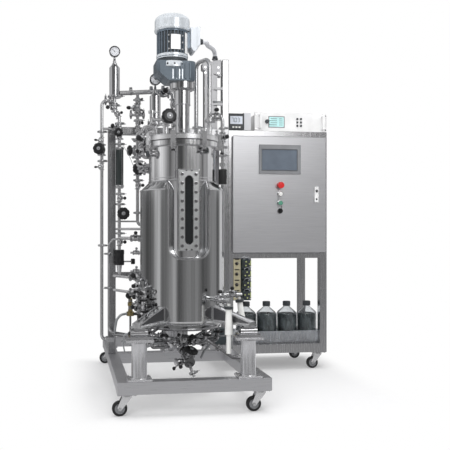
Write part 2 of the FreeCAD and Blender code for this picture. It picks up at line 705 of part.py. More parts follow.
def make_gear_housing():
    """Cast offset gear case: sloped underside, stiffening ribs, and the motor's neck flange."""
    body = new_body("gear_housing_body")
    case = new_sketch(body, "gear_case", "front")
    top = S.gear_bottom + S.gear_height
    left, right = -S.gear_left, S.gear_right
    outline(case, (left + 66, S.gear_bottom), (right - 11, S.gear_bottom), (right, S.gear_bottom + 14),
            (right, top), (left, top), (left, S.gear_bottom + 52))
    pad(body, case, S.gear_depth, both_ways=True)
    plan = new_sketch(body, "gear_plan", "top", S.gear_bottom - 1)
    half = S.gear_depth / 2
    rectangle(plan, left - 1, -half - 1, right + 1, half + 1)
    outline(plan, (left + 18, -half, Size(18)), (right - 40, -half), (right, -half + 40, Size(40)),
            (right, half - 40), (right - 40, half, Size(40)), (left + 18, half),
            (left, half - 18, Size(18)), (left, -half + 18))
    pocket(body, plan, S.gear_height + 2, back=True)
    neck = new_sketch(body, "gear_neck", "top", top)
    circle(neck, S.motor_x, Size(0), S.neck_radius)
    pad(body, neck, S.neck_height)
    rim = new_sketch(body, "gear_rim", "top", top + S.neck_height - 8)
    circle(rim, S.motor_x, Size(0), S.neck_radius + 5)
    pad(body, rim, Size(8))
    rib = new_sketch(body, "gear_rib", "front", half - 2)
    rectangle(rib, Size(-46), S.gear_bottom + 10, Size(-39), top - 12)
    repeat_along(body, pad(body, rib, Size(9)), rib, "H_Axis", Size(72), Size(4))
    bore = new_sketch(body, "gear_bore", "top", S.gear_bottom - 1)
    circle(bore, Size(0), Size(0), S.shaft_radius + S.running_gap)
    pocket(body, bore, Size(23), back=True)
    node("gear_housing", body)


def make_motor():
    """Finned motor frame with its terminal-box boss, and the box and fan cowl on it."""
    frame = new_body("motor_body_body")
    core = new_sketch(frame, "motor_core", "top", S.motor_bottom + 0.3)
    circle(core, Size(0), Size(0), S.motor_radius - S.fin_depth)
    pad(frame, core, S.motor_top - S.motor_bottom - 0.3)
    for name, bottom in (("motor_foot", S.motor_bottom + 0.3), ("motor_head", S.motor_top - 9)):
        ring = new_sketch(frame, name, "top", bottom)
        circle(ring, Size(0), Size(0), S.motor_radius - 1)
        pad(frame, ring, Size(9))
    fin = new_sketch(frame, "motor_fin", "top", S.motor_bottom + 5)
    rectangle(fin, S.motor_radius - S.fin_depth - 4, -S.fin_thickness / 2,
              S.motor_radius, S.fin_thickness / 2)
    repeat_around(frame, pad(frame, fin, S.motor_top - S.motor_bottom - 10), fin, S.fin_count)
    boss = new_sketch(frame, "motor_boss", "top", S.terminal_bottom + 20)
    rectangle(boss, S.motor_radius - 30, Size(-34), S.terminal_left - S.motor_x - 0.3, Size(34))
    pad(frame, boss, S.motor_top - S.terminal_bottom - 24)
    frame.Tip = frame.Group[-1]
    node("motor_body", frame, S.motor_x)

    box = new_body("terminal_box_body")
    side = new_sketch(box, "terminal_side", "front")
    outline(side, (S.terminal_left, S.terminal_bottom + 22), (S.terminal_left + 14, S.terminal_bottom),
            (S.terminal_left + 24, S.terminal_bottom), (S.terminal_right, S.terminal_bottom + 34),
            (S.terminal_right, S.terminal_top), (S.terminal_left, S.terminal_top))
    pad(box, side, S.terminal_depth, both_ways=True)
    lid = new_sketch(box, "terminal_lid", "front")
    outline(lid, (S.terminal_right - 16, S.terminal_bottom + 24),
            (S.terminal_right + 2, S.terminal_bottom + 34), (S.terminal_right + 2, S.terminal_top + 2),
            (S.terminal_right - 16, S.terminal_top + 2))
    pad(box, lid, S.terminal_depth + 4, both_ways=True)
    node("terminal_box", box)

    cowl = new_body("fan_cowl_body")
    half = new_sketch(cowl, "cowl_half", "front")
    shoulder = S.cowl_top - S.cowl_round
    outline(half, (Size(0), S.motor_top + 0.3), (S.cowl_radius, S.motor_top + 0.3),
            (S.cowl_radius, shoulder), (S.cowl_radius - S.cowl_round, S.cowl_top, S.cowl_round),
            (Size(0), S.cowl_top))
    turned(cowl, half)
    for place in range(3):
        vent = new_sketch(cowl, f"cowl_vent_{place + 1}", "front")
        inner = Size(16 + 15 * place)
        rectangle(vent, inner, S.cowl_top - 6, inner + 7, S.cowl_top + 1)
        turned(cowl, vent, groove=True)
    node("fan_cowl", cowl, S.motor_x)


# ---------------------------------------------------------------- piping rack and hoist column

rack_front = S.middle_beam_y
rack_rear = rack_front + S.rack_back
tall_post_right = S.tall_post_left + S.tall_post
hoist_right = S.hoist_left + S.hoist_width


def make_rack():
    """Left post, top beam and tall right post, standing on the skid's cross beam."""
    left = block("rack_left_post", (skid_left, rack_front, beam_top),
                 (skid_left + S.rack_post, rack_rear, S.rack_top))
    beam = block("rack_top_beam", (skid_left, rack_front, S.rack_top - S.rack_post),
                 (tall_post_right, rack_rear, S.rack_top))
    right = block("rack_tall_post", (S.tall_post_left, rack_front, beam_top),
                  (tall_post_right, rack_rear, S.tall_post_top))
    low_top = S.window_bottom - S.low_rail_drop
    low = block("rack_low_rail", (skid_left, rack_front, low_top - S.low_rail),
                (tall_post_right, rack_front + S.low_rail, low_top))
    node("rack_frame", fuse("rack_weld", left, beam, right, low))


def make_hoist_column():
    """Perforated lifting column with its tapered head, cable duct and cross straps."""
    body = new_body("hoist_column_body")
    plan = new_sketch(body, "hoist_plan", "top", S.rack_top)
    rectangle(plan, S.hoist_left, rack_front, hoist_right, rack_rear)
    pad(body, plan, S.hoist_top - S.rack_top)
    hole = new_sketch(body, "hoist_hole", "front", -rack_front + 1)
    circle(hole, (S.hoist_left + hoist_right) / 2, S.rack_top + 118, S.hoist_hole_radius)
    repeat_along(body, pocket(body, hole, S.rack_back / 2), hole, "V_Axis",
                 S.hoist_hole_pitch * 2, Size(3))
    head = new_body("hoist_head_body")
    shape = new_sketch(head, "hoist_head", "front", -rack_front)
    low = S.arm_top - S.arm_height
    outline(shape, (S.arm_left, low + 41), (S.arm_left + 12, low + 34), (S.arm_right, low),
            (S.arm_right, S.arm_top + S.arm_rise), (S.arm_left, S.arm_top))
    pad(head, shape, S.rack_back, back=True)
    duct = block("cable_duct", (hoist_right, rack_front + 8, S.rack_top),
                 (hoist_right + S.duct_width, rack_rear - 8, S.arm_top - 40))
    straps = [block(f"duct_strap_{place + 1}", (S.hoist_left - 3, rack_front - 3, z),
                    (S.tall_post_left, rack_front + 9, z + 14))
              for place, z in enumerate((S.rack_top + 50, S.rack_top + 142, S.rack_top + 236))]
    node("hoist_column", fuse("hoist_weld", body, head, duct, *straps))


# ---------------------------------------------------------------- control stand and cabinet

post = S.stand_post
stand_floor = S.caster_height + S.stand_beam
rail_top = S.stand_rail_bottom + S.stand_rail
post_lefts = (stand_left, stand_right - post)
post_fronts = (S.stand_front, stand_back - post)
cabinet_left, cabinet_right = stand_left + post, stand_right - post
cabinet_front = S.stand_front + 4
cabinet_top = S.stand_rail_bottom


def make_stand():
    """Tube stand: base rectangle with a shelf, four posts, rails under and over the cabinet."""
    pieces = []
    for index, x in enumerate(post_lefts):
        for side, y in enumerate(post_fronts):
            pieces.append(block(f"stand_post_{index}{side}", (x, y, stand_floor - 1),
                                (x + post, y + post, S.stand_rail_bottom + 1)))
    for name, low, high in (("base", S.caster_height, stand_floor),
                            ("middle", S.cabinet_bottom - S.stand_rail, S.cabinet_bottom),
                            ("top", S.stand_rail_bottom, rail_top)):
        ring = new_body(f"stand_{name}_ring")
        plan = new_sketch(ring, f"stand_{name}_plan", "top", low)
        rectangle(plan, stand_left, S.stand_front, stand_right, stand_back)
        rectangle(plan, stand_left + post, S.stand_front + post, stand_right - post,
                  stand_back - post)
        pad(ring, plan, high - low)
        pieces.append(ring)
    for name, z in (("low", stand_floor), ("top", rail_top)):
        pieces.append(block(f"stand_{name}_shelf", (stand_left, S.stand_front, z - 1),
                            (stand_right, stand_back, z + S.shelf)))
    pieces += [caster_pad(f"{name}_plate", *place) for name, place in stand_corners.items()]
    node("stand_frame", fuse("stand_weld", *pieces))


def make_cabinet():
    """Folded cabinet shell, open to the front, with a rim for the door's seal."""
    back = cabinet_front + S.cabinet_depth
    low, high = S.cabinet_bottom + 0.3, cabinet_top - 0.3
    left, right = cabinet_left + 0.3, cabinet_right - 0.3
    shell = block("cabinet_outside", (left, cabinet_front, low), (right, back, high))
    inside = block("cabinet_inside", (left + S.sheet, cabinet_front - 1, low + S.sheet),
                   (right - S.sheet, back - S.sheet, high - S.sheet))
    rim_outer = block("cabinet_rim", (left, cabinet_front, low), (right, cabinet_front + S.sheet, high))
    rim_inner = block("cabinet_mouth", (left + 22, cabinet_front - 1, low + 22),
                      (right - 22, cabinet_front + S.sheet + 1, high - 22))
    node("cabinet_body", fuse("cabinet_weld", cut("cabinet_hollow", shell, inside),
                              cut("cabinet_rim_cut", rim_outer, rim_inner)))

    plate = block("gear_plate", (left + 30, back - S.sheet - 14, low + 30),
                  (right - 30, back - S.sheet - 11, high - 30))
    studs = [block(f"gear_stud_{index}{side}", (x, back - S.sheet - 12, z),
                   (x + 14, back - S.sheet, z + 14))
             for index, x in enumerate((left + 40, right - 54))
             for side, z in enumerate((low + 40, high - 54))]
    modules = [block(f"control_module_{index}{row}",
                     (left + 60 + 105 * index, back - S.sheet - 12 - depth, low + z),
                     (left + 60 + 105 * index + width, back - S.sheet - 13, low + z + tall))
               for row, (z, tall, depth, width, count) in enumerate(
                   ((70, 200, 130, 92, 4), (340, 110, 80, 70, 4), (540, 120, 95, 88, 4)))
               for index in range(count)]
    node("control_gear", fuse("control_gear_weld", plate, *studs, *modules))


door_bottom = cabinet_top - S.door_height - 5
door_left = stand_left + S.door_inset_left
door_right = stand_right - S.door_inset_right
door_middle = (door_left + door_right) / 2
door_face = S.stand_front - S.door_gap - S.door_thickness
control_heights = {"emergency_stop": 1185, "white_button": 1130, "green_button": 1072,
                   "selector_switch": 1022}
plunger_radius = Size(11)
screen_left, screen_low = door_middle - S.screen_width / 2, S.screen_z - S.screen_height / 2
screen_right, screen_high = screen_left + S.screen_width, screen_low + S.screen_height
latch_x = door_right - S.latch_inset


def make_door():
    """Pan-shaped door, open at the back, with the holes that its controls sit in."""
    door = new_body("cabinet_door_body")
    face = new_sketch(door, "door_face", "front", -door_face)
    rectangle(face, door_left, door_bottom, door_right, door_bottom + S.door_height)
    pad(door, face, S.door_thickness, back=True)
    pan = new_sketch(door, "door_pan", "front", -door_face - S.door_thickness)
    edge = S.sheet * 3
    rectangle(pan, door_left + edge, door_bottom + edge, door_right - edge,
              door_bottom + S.door_height - edge)
    pocket(door, pan, S.door_thickness - S.sheet, back=True)
    holes = new_sketch(door, "door_holes", "front", -door_face + 1)
    for z in control_heights.values():
        circle(holes, door_middle, Size(z), plunger_radius + S.swivel_gap)
    circle(holes, latch_x, S.latch_z, Size(8) + S.swivel_gap)
    pocket(door, holes, S.door_thickness + 2)
    node("cabinet_door", door)


def make_door_fittings():
    """Touch screen, latch, and the buttons that travel in the door's holes."""
    screen = new_body("touch_screen_body")
    bezel = new_sketch(screen, "screen_bezel", "front", -door_face)
    rectangle(bezel, screen_left, screen_low, screen_right, screen_high)
    pad(screen, bezel, S.screen_depth)
    glass = new_sketch(screen, "screen_glass", "front", -door_face + S.screen_depth)
    rectangle(glass, screen_left + S.glass_left, screen_low + S.glass_low,
              screen_right - S.glass_right, screen_high - S.glass_high)
    pocket(screen, glass, S.glass_depth)
    node("touch_screen", screen)

    side, tall = S.latch_width / 2, S.latch_height / 2
    latch = fuse("latch_weld",
                 block("latch_grip", (-side, -S.latch_stand, -tall), (side, Size(-4), tall)),
                 block("latch_foot", (-side, Size(-10), Size(-14)), (side, -S.swivel_gap, Size(14))),
                 rod("latch_spindle", Size(8), S.door_thickness + 16, (Size(0), Size(-8), Size(0)), Y_AXIS),
                 block("latch_cam", (Size(-7), S.door_thickness - 2, Size(-8)),
                       (Size(7), S.door_thickness + 3, Size(8))))
    node("door_latch", latch, latch_x, door_face, S.latch_z)

    for name, cap_size, depth in (("emergency_stop", 20, 24), ("white_button", 15, 12),
                                  ("green_button", 15, 12), ("selector_switch", 15, 10)):
        stem = rod(name + "_stem", plunger_radius, S.door_thickness + 12,
                   (Size(0), Size(-12), Size(0)), Y_AXIS)
        cap = rod(name + "_cap", Size(cap_size), Size(depth), (Size(0), Size(-5.5), Size(0)), -Y_AXIS)
        pieces = [stem, cap]
        if name == "selector_switch":
            pieces.append(block(name + "_bar", (Size(-4), Size(-27), Size(-14)),
                                (Size(4), Size(-14), Size(14))))
        node(name, fuse(name + "_weld", *pieces), door_middle, door_face, Size(control_heights[name]))


# ---------------------------------------------------------------- instruments on the stand

def make_instruments():
    """Rack analyser with its two handles, and the small display beside it."""
    low = rail_top + S.shelf
    right = stand_right - 2
    left = stand_left + S.display_room
    front = S.stand_front - 4
    case = block("analyzer_case", (left + 22, front + 6, low),
                 (right - 22, front + S.analyzer_depth, low + S.analyzer_height - 2))
    panel = block("analyzer_panel", (left, front, low), (right, front + 7, low + S.analyzer_height))
    handles = []
    for name, x in (("left", left + 26), ("right", right - 38)):
        outer = block(name + "_handle", (x, front - 34, low + 14),
                      (x + 12, front + 2, low + S.analyzer_height - 14))
        inner = block(name + "_handle_gap", (x - 1, front - 24, low + 24),
                      (x + 13, front, low + S.analyzer_height - 24))
        handles.append(cut(name + "_handle_cut", outer, inner))
    knob = rod("analyzer_knob", Size(12), Size(14), (left + 82, front + 1, low + 60), -Y_AXIS)
    node("gas_analyzer", fuse("analyzer_weld", case, panel, knob, *handles))

    x = stand_left + 14
    display = block("display_case", (x, front, low), (x + S.display_width, front + S.display_depth,
                                                      low + S.display_height))
    side = block("display_side", (x + S.display_width - 1, front + 12, low),
                 (x + S.display_width + 46, front + S.display_depth - 10, low + S.display_height + 6))
    node("ph_display", fuse("display_weld", display, side))


# ---------------------------------------------------------------- pumps and feed bottles

tray_floor = stand_floor + S.shelf
bottle_floor = tray_floor + S.tray_wall
tray_half = S.bottle_radius + 8
bottle_y = S.stand_front + S.stand_post + tray_half + 5


def make_pump_unit():
    """Stack of four peristaltic heads under the cabinet, hung between rail and post."""
    left, top = stand_left + post, S.cabinet_bottom - S.stand_rail
    bottom, front = top - S.pump_height, S.stand_front + 4
    case = block("pump_case", (left, front, bottom), (left + S.pump_width, front + S.pump_depth, top))
    strip = block("pump_panel", (left + 4, front - 5, bottom + 4), (left + 48, front + 1, top - 4))
    heads = []
    for place in range(4):
        z = bottom + 34 + 67 * place
        heads.append(block(f"pump_head_{place + 1}", (left + 54, front - 32, z - 26),
                           (left + S.pump_width - 6, front + 1, z + 26)))
        heads.append(rod(f"pump_cover_{place + 1}", Size(19), Size(10),
                         (left + 82, front - 31, z), -Y_AXIS))
        heads.append(rod(f"pump_knob_{place + 1}", Size(9), Size(14), (left + 26, front - 4, z), -Y_AXIS))
    node("pump_unit", fuse("pump_weld", case, strip, *heads))


def bottle_places():
    return [(S.bottle_first + S.bottle_pitch * place, bottle_y) for place in range(4)]


def make_bottles():
    """Clear tray with four capped feed bottles standing in it."""
    left = S.bottle_first - tray_half
    right = S.bottle_first + S.bottle_pitch * 3 + tray_half
    tray = new_body("bottle_tray_body")
    plan = new_sketch(tray, "tray_plan", "top", tray_floor)
    rectangle(plan, left, bottle_y - tray_half, right, bottle_y + tray_half)
    pad(tray, plan, S.tray_height)
    well = new_sketch(tray, "tray_well", "top", tray_floor + S.tray_height)
    rectangle(well, left + S.tray_wall, bottle_y - tray_half + S.tray_wall,
              right - S.tray_wall, bottle_y + tray_half - S.tray_wall)
    pocket(tray, well, S.tray_height - S.tray_wall)
    node("bottle_tray", tray)

    bottles, caps = [], []
    for place, (x, y) in enumerate(bottle_places(), start=1):
        body = new_body(f"bottle_{place}_body")
        half = new_sketch(body, f"bottle_{place}_half", "front")
        shoulder = bottle_floor + S.bottle_height
        neck_bottom = shoulder + S.bottle_shoulder
        outline(half, (Size(0), bottle_floor), (S.bottle_radius - 6, bottle_floor),
                (S.bottle_radius, bottle_floor + 6), (S.bottle_radius, shoulder),
                (S.neck, neck_bottom), (S.neck, neck_bottom + 26), (Size(0), neck_bottom + 26))
        turned(body, half)
        bind(body, x=x, y=y)
        bottles.append(body)
        cap_low = neck_bottom + 4
        cap = rod(f"bottle_{place}_cap", S.cap_radius, S.cap_height, (x, y, cap_low))
        hole = rod(f"bottle_{place}_cap_hole", S.neck + 0.3, Size(22.3), (x, y, cap_low - 0.01))
        caps.append(cut(f"bottle_{place}_cap_cut", cap, hole))
    node("bottles", group("bottles_set", *bottles))
    node("bottle_caps", group("bottle_caps_set", *caps))


# ---------------------------------------------------------------- pipes and fittings

def tube(points, radius, bend=None):
    """A round pipe through the points, with an arc of the bend radius at each turn."""
    corners = [Vector(*point) for point in points]
    bend = bend or radius * 3
    edges, start = [], corners[0]
    for before, here, after in zip(corners, corners[1:], corners[2:]):
        into, out = (here - before).normalize(), (after - here).normalize()
        turn = into.getAngle(out)
        reach = bend * math.tan(turn / 2)
        first, last = here - into * reach, here + out * reach
        middle = here + (out - into).normalize() * bend * (1 / math.cos(turn / 2) - 1)
        edges += [Part.LineSegment(start, first).toShape(), Part.Arc(first, middle, last).toShape()]
        start = last
    edges.append(Part.LineSegment(start, corners[-1]).toShape())
    path = Part.Wire(edges)
    ring = Part.Wire(Part.Circle(corners[0], corners[1] - corners[0], radius).toShape())
    return path.makePipeShell([ring], True, False)


def drum(centre, axis, radius, length):
    """A short cylinder about a centre point: a clamp, flange, valve body or collar."""
    direction = Vector(*axis).normalize()
    return Part.makeCylinder(radius, length, Vector(*centre) - direction * length / 2, direction)


def brick(centre, size):
    """A box about a centre point."""
    return Part.makeBox(*size, Vector(*centre) - Vector(*size) / 2)


def clamp(centre, axis, pipe_radius):
    """A sanitary clamp: its ring around the pipe and the ear that its wing nut closes."""
    upright = abs(Vector(*axis).normalize().z) > 0.9
    side = Vector(X_AXIS) if upright else Vector(*axis).cross(Z_AXIS).normalize()
    ear = Vector(*centre) + side * (pipe_radius + 12)
    return [drum(centre, axis, pipe_radius + S.clamp_lip, S.clamp_ring), brick(ear, (20, 9, 11))]


def weld(shapes):
    """Join shapes one by one into as few solids as they make."""
    whole = shapes[0]
    for shape in shapes[1:]:
        whole = whole.fuse(shape)
    return whole.removeSplitter()


def nozzle_top(name):
    """The point at the middle of a lid nozzle's rim."""
    reach, angle, _, height = nozzles[name]
    angle = math.radians(angle)
    return Vector(reach * math.cos(angle), reach * math.sin(angle), lid_top + height - 2)


def on_jacket(degrees, height, clear=0.3):
    """A point just off the jacket's wall."""
    reach, angle = S.jacket_radius + clear, math.radians(degrees)
    return Vector(reach * math.cos(angle), reach * math.sin(angle), height)


# ---------------------------------------------------------------- valves and their handwheels

air_filter_bottom = S.header_z - 35
valves = {
    # name: valve centre, direction of its stem, handwheel radius, distance to the handwheel
    "steam": (Vector(S.riser_x, S.pipe_y, 1364), Vector(-0.3, -1, 0), 34, 58),
    "air": (Vector(S.column_x, S.pipe_y, 1460), Vector(-0.15, -1, 0), 26, 46),
    "water": (Vector(S.column_x + 18, S.pipe_y, 994), Vector(0, -1, 0), 36, 58),
    "exhaust": (Vector(S.second_x, S.pipe_y, 1251), Vector(0, -1, 0), 36, 58),
    "feed": (Vector(S.second_x, S.pipe_y, 1362), Vector(-1, -0.25, 0), 31, 38),
    "lid": (nozzle_top("feed_port") + Vector(0, 0, 28), Vector(0.15, -1, 0.1), 40, 52),
    "drain": (Vector(16, -86, 212), Vector(0.25, -0.35, 0.9), 37, 46),
}


def valve_body(name):
    """A valve's round body, bonnet and stem, for the pipework that it sits in."""
    centre, direction, wheel_radius, reach = valves[name]
    direction = Vector(direction).normalize()
    bonnet = Part.makeCylinder(wheel_radius * 0.62, reach - 1, centre, direction)
    collar = Part.makeCylinder(wheel_radius * 0.8, 8, centre + direction * (reach * 0.45), direction)
    stem = Part.makeCylinder(S.stem_radius, reach + 12, centre, direction)
    return [bonnet, collar, stem]


def make_handwheels():
    """Scalloped handwheels, each with a blind bore over its valve's stem."""
    for name, (centre, direction, wheel_radius, reach) in valves.items():
        radius = Size(wheel_radius)
        body = new_body(name + "_handwheel_body")
        half = new_sketch(body, name + "_handwheel_half", "front")
        bore = S.stem_radius + S.running_gap
        outline(half, (bore, Size(0)), (radius * 0.62, Size(0)), (radius, Size(6)),
                (radius, S.grip_depth - 6), (radius * 0.72, S.grip_depth), (Size(0), S.grip_depth + 2),
                (Size(0), Size(13)), (bore, Size(13)))
        turned(body, half)
        notch = new_sketch(body, name + "_handwheel_notch", "top", -1)
        circle(notch, radius * 1.16, Size(0), radius * 0.24)
        repeat_around(body, pocket(body, notch, S.grip_depth + 4, back=True), notch, Size(8))
        direction = Vector(direction).normalize()
        place = centre + direction * reach
        node(name + "_handwheel", body, *place, turn=Rotation(Z_AXIS, direction))


# ---------------------------------------------------------------- pipework

def make_rack_pipework():
    """Supply pipes on the rack: far-left riser, two valve columns, and runs to the jacket."""
    thin, main, plane = S.thin_pipe, S.main_pipe, S.pipe_y
    riser, column, second, filter_x = S.riser_x, S.column_x, S.second_x, S.air_filter_x
    post_face = rack_front - 0.3
    filter_foot = air_filter_bottom - 0.3
    pieces = [
        tube([(riser + 36, plane, S.riser_foot), (riser, plane, S.riser_foot),
              (riser, plane, filter_foot - 20), (filter_x, plane, filter_foot - 20)], thin),
        tube([(filter_x, plane, filter_foot), (filter_x, plane, 1600), (column, plane, 1550),
              (column, plane, 700)], thin),
        tube([(filter_x + 31, plane, S.header_z - 8), (0, plane, S.header_z + 15), (0, plane, 1500),
              (0, 135, 1500), tuple(nozzle_top("air_port") + Vector(0, 0, 0.3))], main, 36),
        tube([(second, plane, S.header_z - 4), (second, plane, 930),
              tuple(on_jacket(math.degrees(math.atan2(plane, second)), 930))], thin),
        tube([(column, plane, 852), (-268, 187, 852), tuple(on_jacket(145, 852))], thin, 20),
        tube([(column, plane, 905), (-268, 187, 905), tuple(on_jacket(145, 905))], 7, 20),
        drum((column, plane, 1263), (0, 0, 1), 22, 242),
        drum((column, plane, 740), (0, 0, 1), 27, 90),
        Part.makeCone(10, 17, 60, Vector(column, plane, 640)),
        drum((column + 46, plane, 716), (1, 0, 0), 4.5, 60),
        drum((column + 80, plane, 716), (1, 0, 0), 15, 22),
        brick((riser + 38, plane + 20, S.riser_foot), (24, 59, 26)),
        brick((riser + 55, plane + 20, S.riser_foot), (30, 59, 26)),
    ]
    for z in (634, 552):
        pieces.append(tube([(-350, post_face, z), (-350, 290, z), (-286, 165, z),
                            tuple(on_jacket(150, z))], 8, 24))
    for x, heights in ((riser, (1470, 1300, 810)), (column, (1520, 1400, 1110, 1050, 880)),
                       (second, (1660, 1600, 1540, 1480, 1420, 1300, 1190, 1000)),
                       (filter_x, (1625,))):
        for z in heights:
            pieces += clamp((x, plane, z), (0, 0, 1), thin)
    for x, z in ((column, 1488), (second, 1488), (riser + 70, 1488)):
        pieces.append(brick((x, (plane + post_face) / 2, z), (22, post_face - plane, 18)))
    pieces.append(tube([(riser, plane, 1488), (riser + 70, plane, 1488)], 7))
    for x in (-250, -130, -60):
        pieces += [drum((x, plane, S.header_z + (x + 316) * 0.08), (1, 0, 0.08), 23, 15)]
    pieces += clamp((-36, plane, S.header_z + 12), (1, 0, 0.08), main)
    for name in ("steam", "air", "water", "exhaust", "feed"):
        pieces += valve_body(name)
    node("rack_pipework", fixed_shape("rack_pipework_shape", weld(pieces)))


def make_lid_pipework():
    """Pipes that stand on the lid: the vent loop, steam line and the big inlet valve."""
    vent, back = nozzle_top("vent_port"), nozzle_top("return_port")
    steam, feed = nozzle_top("steam_port"), nozzle_top("feed_port")
    lift = Vector(0, 0, 0.3)
    shoulder = S.jacket_top - 14
    side_x = 214.0
    pieces = [
        tube([vent + lift, Vector(vent.x, vent.y, 1838), Vector(back.x, back.y, 1838), back + lift],
             12, 36),
        tube([steam + lift, steam + Vector(0, 0, 60), Vector(side_x, steam.y, steam.z + 60),
              Vector(side_x, steam.y, shoulder - 8)], 9, 24),
        drum((side_x, steam.y, 1186), (0, 0, 1), 21, 82),
        drum((side_x, steam.y, 1252), (0, 0, 1), 17, 18),
        Part.makeCylinder(15, 56, feed + lift),
    ]
    for point in (vent, back, steam):
        pieces += clamp(point + Vector(0, 0, 34), (0, 0, 1), 12)
    for z in (1300, 1345):
        pieces += clamp((side_x, steam.y, z), (0, 0, 1), 9)
    pieces += valve_body("lid")
    pieces.append(tube([feed + Vector(0, 0, 28), feed + Vector(-70, 30, 28),
                        feed + Vector(-70, 30, 75)], 9, 20))
    pieces += clamp(feed + Vector(-70, 30, 70), (0, 0, 1), 9)
    node("lid_pipework", fixed_shape("lid_pipework_shape", weld(pieces)))


def make_bottom_pipework():
    """Drain valve under the vessel, with the manifolds that come in from both posts."""
    post_face = rack_front - 0.3
    outlet = S.outlet_bottom - 0.3
    drain = valves["drain"][0]
    hub = Vector(0, 0, 286)
    branch = Vector(-120, 99.3, 287.7)
    elbow = Vector(-150, -40, 292)
    relief_x, relief_y = -262.0, 211.0
    relief_turn = math.degrees(math.atan2(relief_y, relief_x))
    pieces = [
        drum((0, 0, outlet - 7), (0, 0, 1), 38, 14),
        tube([(0, 0, outlet), (0, 0, 262), drain], 21, 26),
        drum(hub, (0, 0, 1), 29, 34),
        drum(drain, (0.15, -0.9, -0.4), 30, 64),
        tube([drain, (26, -122, 168), (40, -140, 132)], 8, 18),
        tube([(-350, post_face, 300), (-350, 280, 300), (-70, 60, 285), hub + Vector(-8, 5, 0)], 13, 40),
        tube([(330, post_face, 262), (330, 280, 262), (90, 60, 285), hub + Vector(9, 5, 1)], 13, 40),
        drum(branch, (0, 0, 1), 20, 40),
        tube([branch, elbow, (-60, -60, 292), hub + Vector(-6, -6, 2)], 10, 28),
        tube([(-4, -88, 214), (-62, -118, 176)], 4),
        Part.makeSphere(9, Vector(-64, -119, 174.5)),
        drum((-103, -50, 292), (1, -0.22, 0), 19, 26),
        drum((45, 32, 285), (0.9, 0.6, 0), 19, 24),
        tube([(relief_x, relief_y, 295), (relief_x, relief_y, 500),
              (relief_x - 10, relief_y - 12, 524)], 6, 12),
        drum((relief_x, relief_y, 422), (0, 0, 1), 22, 20),
        drum((relief_x, relief_y, 468), (0, 0, 1), 12, 76),
        drum((relief_x - 10, relief_y - 12, 526), (-0.4, -0.8, 0.4), 17, 14),
        tube([(relief_x, relief_y, 480), tuple(on_jacket(relief_turn, 480))], 7),
    ]
    pieces += clamp((-200, 162, 292), (0.8, -0.6, 0), 13) + clamp((200, 147, 274), (0.8, 0.6, 0), 13)
    pieces += valve_body("drain")
    node("bottom_pipework", fixed_shape("bottom_pipework_shape", weld(pieces)))


def make_filters():
    """Two upright cartridge filter housings, their pressure gauges, and the probe sleeves."""
    exhaust = nozzle_top("exhaust_port")
    places = {"air_filter": (S.air_filter_x, S.pipe_y, air_filter_bottom, Size(174), Size(24)),
              "exhaust_filter": (Size(exhaust.x), Size(exhaust.y), Size(exhaust.z + 0.3), Size(160),
                                 Size(24))}
    gauges = []
    for name, (x, y, z, tall, taper) in places.items():
        body = new_body(name + "_body")
        half = new_sketch(body, name + "_half", "front")
        radius = S.filter_radius
        outline(half, (Size(0), Size(0)), (radius + 8, Size(0)), (radius + 8, Size(12)),
                (radius, Size(12)), (radius, tall), (radius * 0.5, tall + taper - 6),
                (radius * 0.5, tall + taper), (Size(0), tall + taper))
        turned(body, half)
        node(name, body, x, y, z)
        top = z + tall + taper + 0.3
        centre = top + 38 + S.gauge_radius
        gauges.append(weld([
            Part.makeCylinder(6, 40, Vector(x, y, top)),
            drum((x, y, top + 8), (0, 0, 1), 10, 14),
            drum((x, y, centre), (0, 1, 0), S.gauge_radius, S.gauge_depth),
            drum((x, y - S.gauge_depth / 2 - 1, centre), (0, 1, 0), S.gauge_radius + 2, 6)]))
    node("pressure_gauges", fixed_shape("gauges_shape", Part.makeCompound(gauges)))

    sleeves = []
    for reach, along, lean, tail in ((S.front_probe_reach, probe_way, 0.0, 95),
                                     (S.side_probe_reach, X_AXIS, 0.14, 60)):
        down = Vector(lean, 0, -1).normalize()
        start = along * reach + Vector(0, 0, S.probe_pipe_z - S.probe_pipe - 0.3 - lean * 9)
        sleeves.append(weld([
            Part.makeCylinder(9, 16, start, down),
            Part.makeCylinder(S.probe_radius + 2, 16, start + down * 12, down),
            Part.makeCone(15, S.probe_radius, S.probe_length, start + down * 27, down),
            Part.makeCylinder(12, tail, start + down * (26 + S.probe_length), down)]))
    node("probe_sleeves", fixed_shape("sleeves_shape", Part.makeCompound(sleeves)))


def make_conduit():
    """Flexible conduit from the terminal box round to the hoist column's head."""
    start = (S.terminal_right + 2.3, 0, 1925)
    end_x = (S.arm_left + S.arm_right) / 2 + 24
    pieces = [tube([start, (132, 0, 1925), (176, 150, 1950), (240, 300, 1975), (end_x, 372, 1975),
                    (end_x, 372, 1926)], S.conduit_radius, 34)]
    node("motor_conduit", fixed_shape("conduit_shape", weld(pieces)))


# ---------------------------------------------------------------- build and write

def write_parts():
    """Recompute, check every object and write one file per piece."""
    doc.recompute()
    for thing in doc.Objects:
        if "Invalid" in thing.State or "Error" in thing.State:
            raise RuntimeError(f"{thing.Name} did not build: {thing.State}")
    os.makedirs("parts", exist_ok=True)
    for thing in nodes:
        if thing.Shape.isNull() or not thing.Shape.isValid() or not thing.Shape.Solids:
            raise RuntimeError(f"{thing.Label} has no sound solid")
        thing.Shape.exportStep(f"parts/{thing.Label}.step")


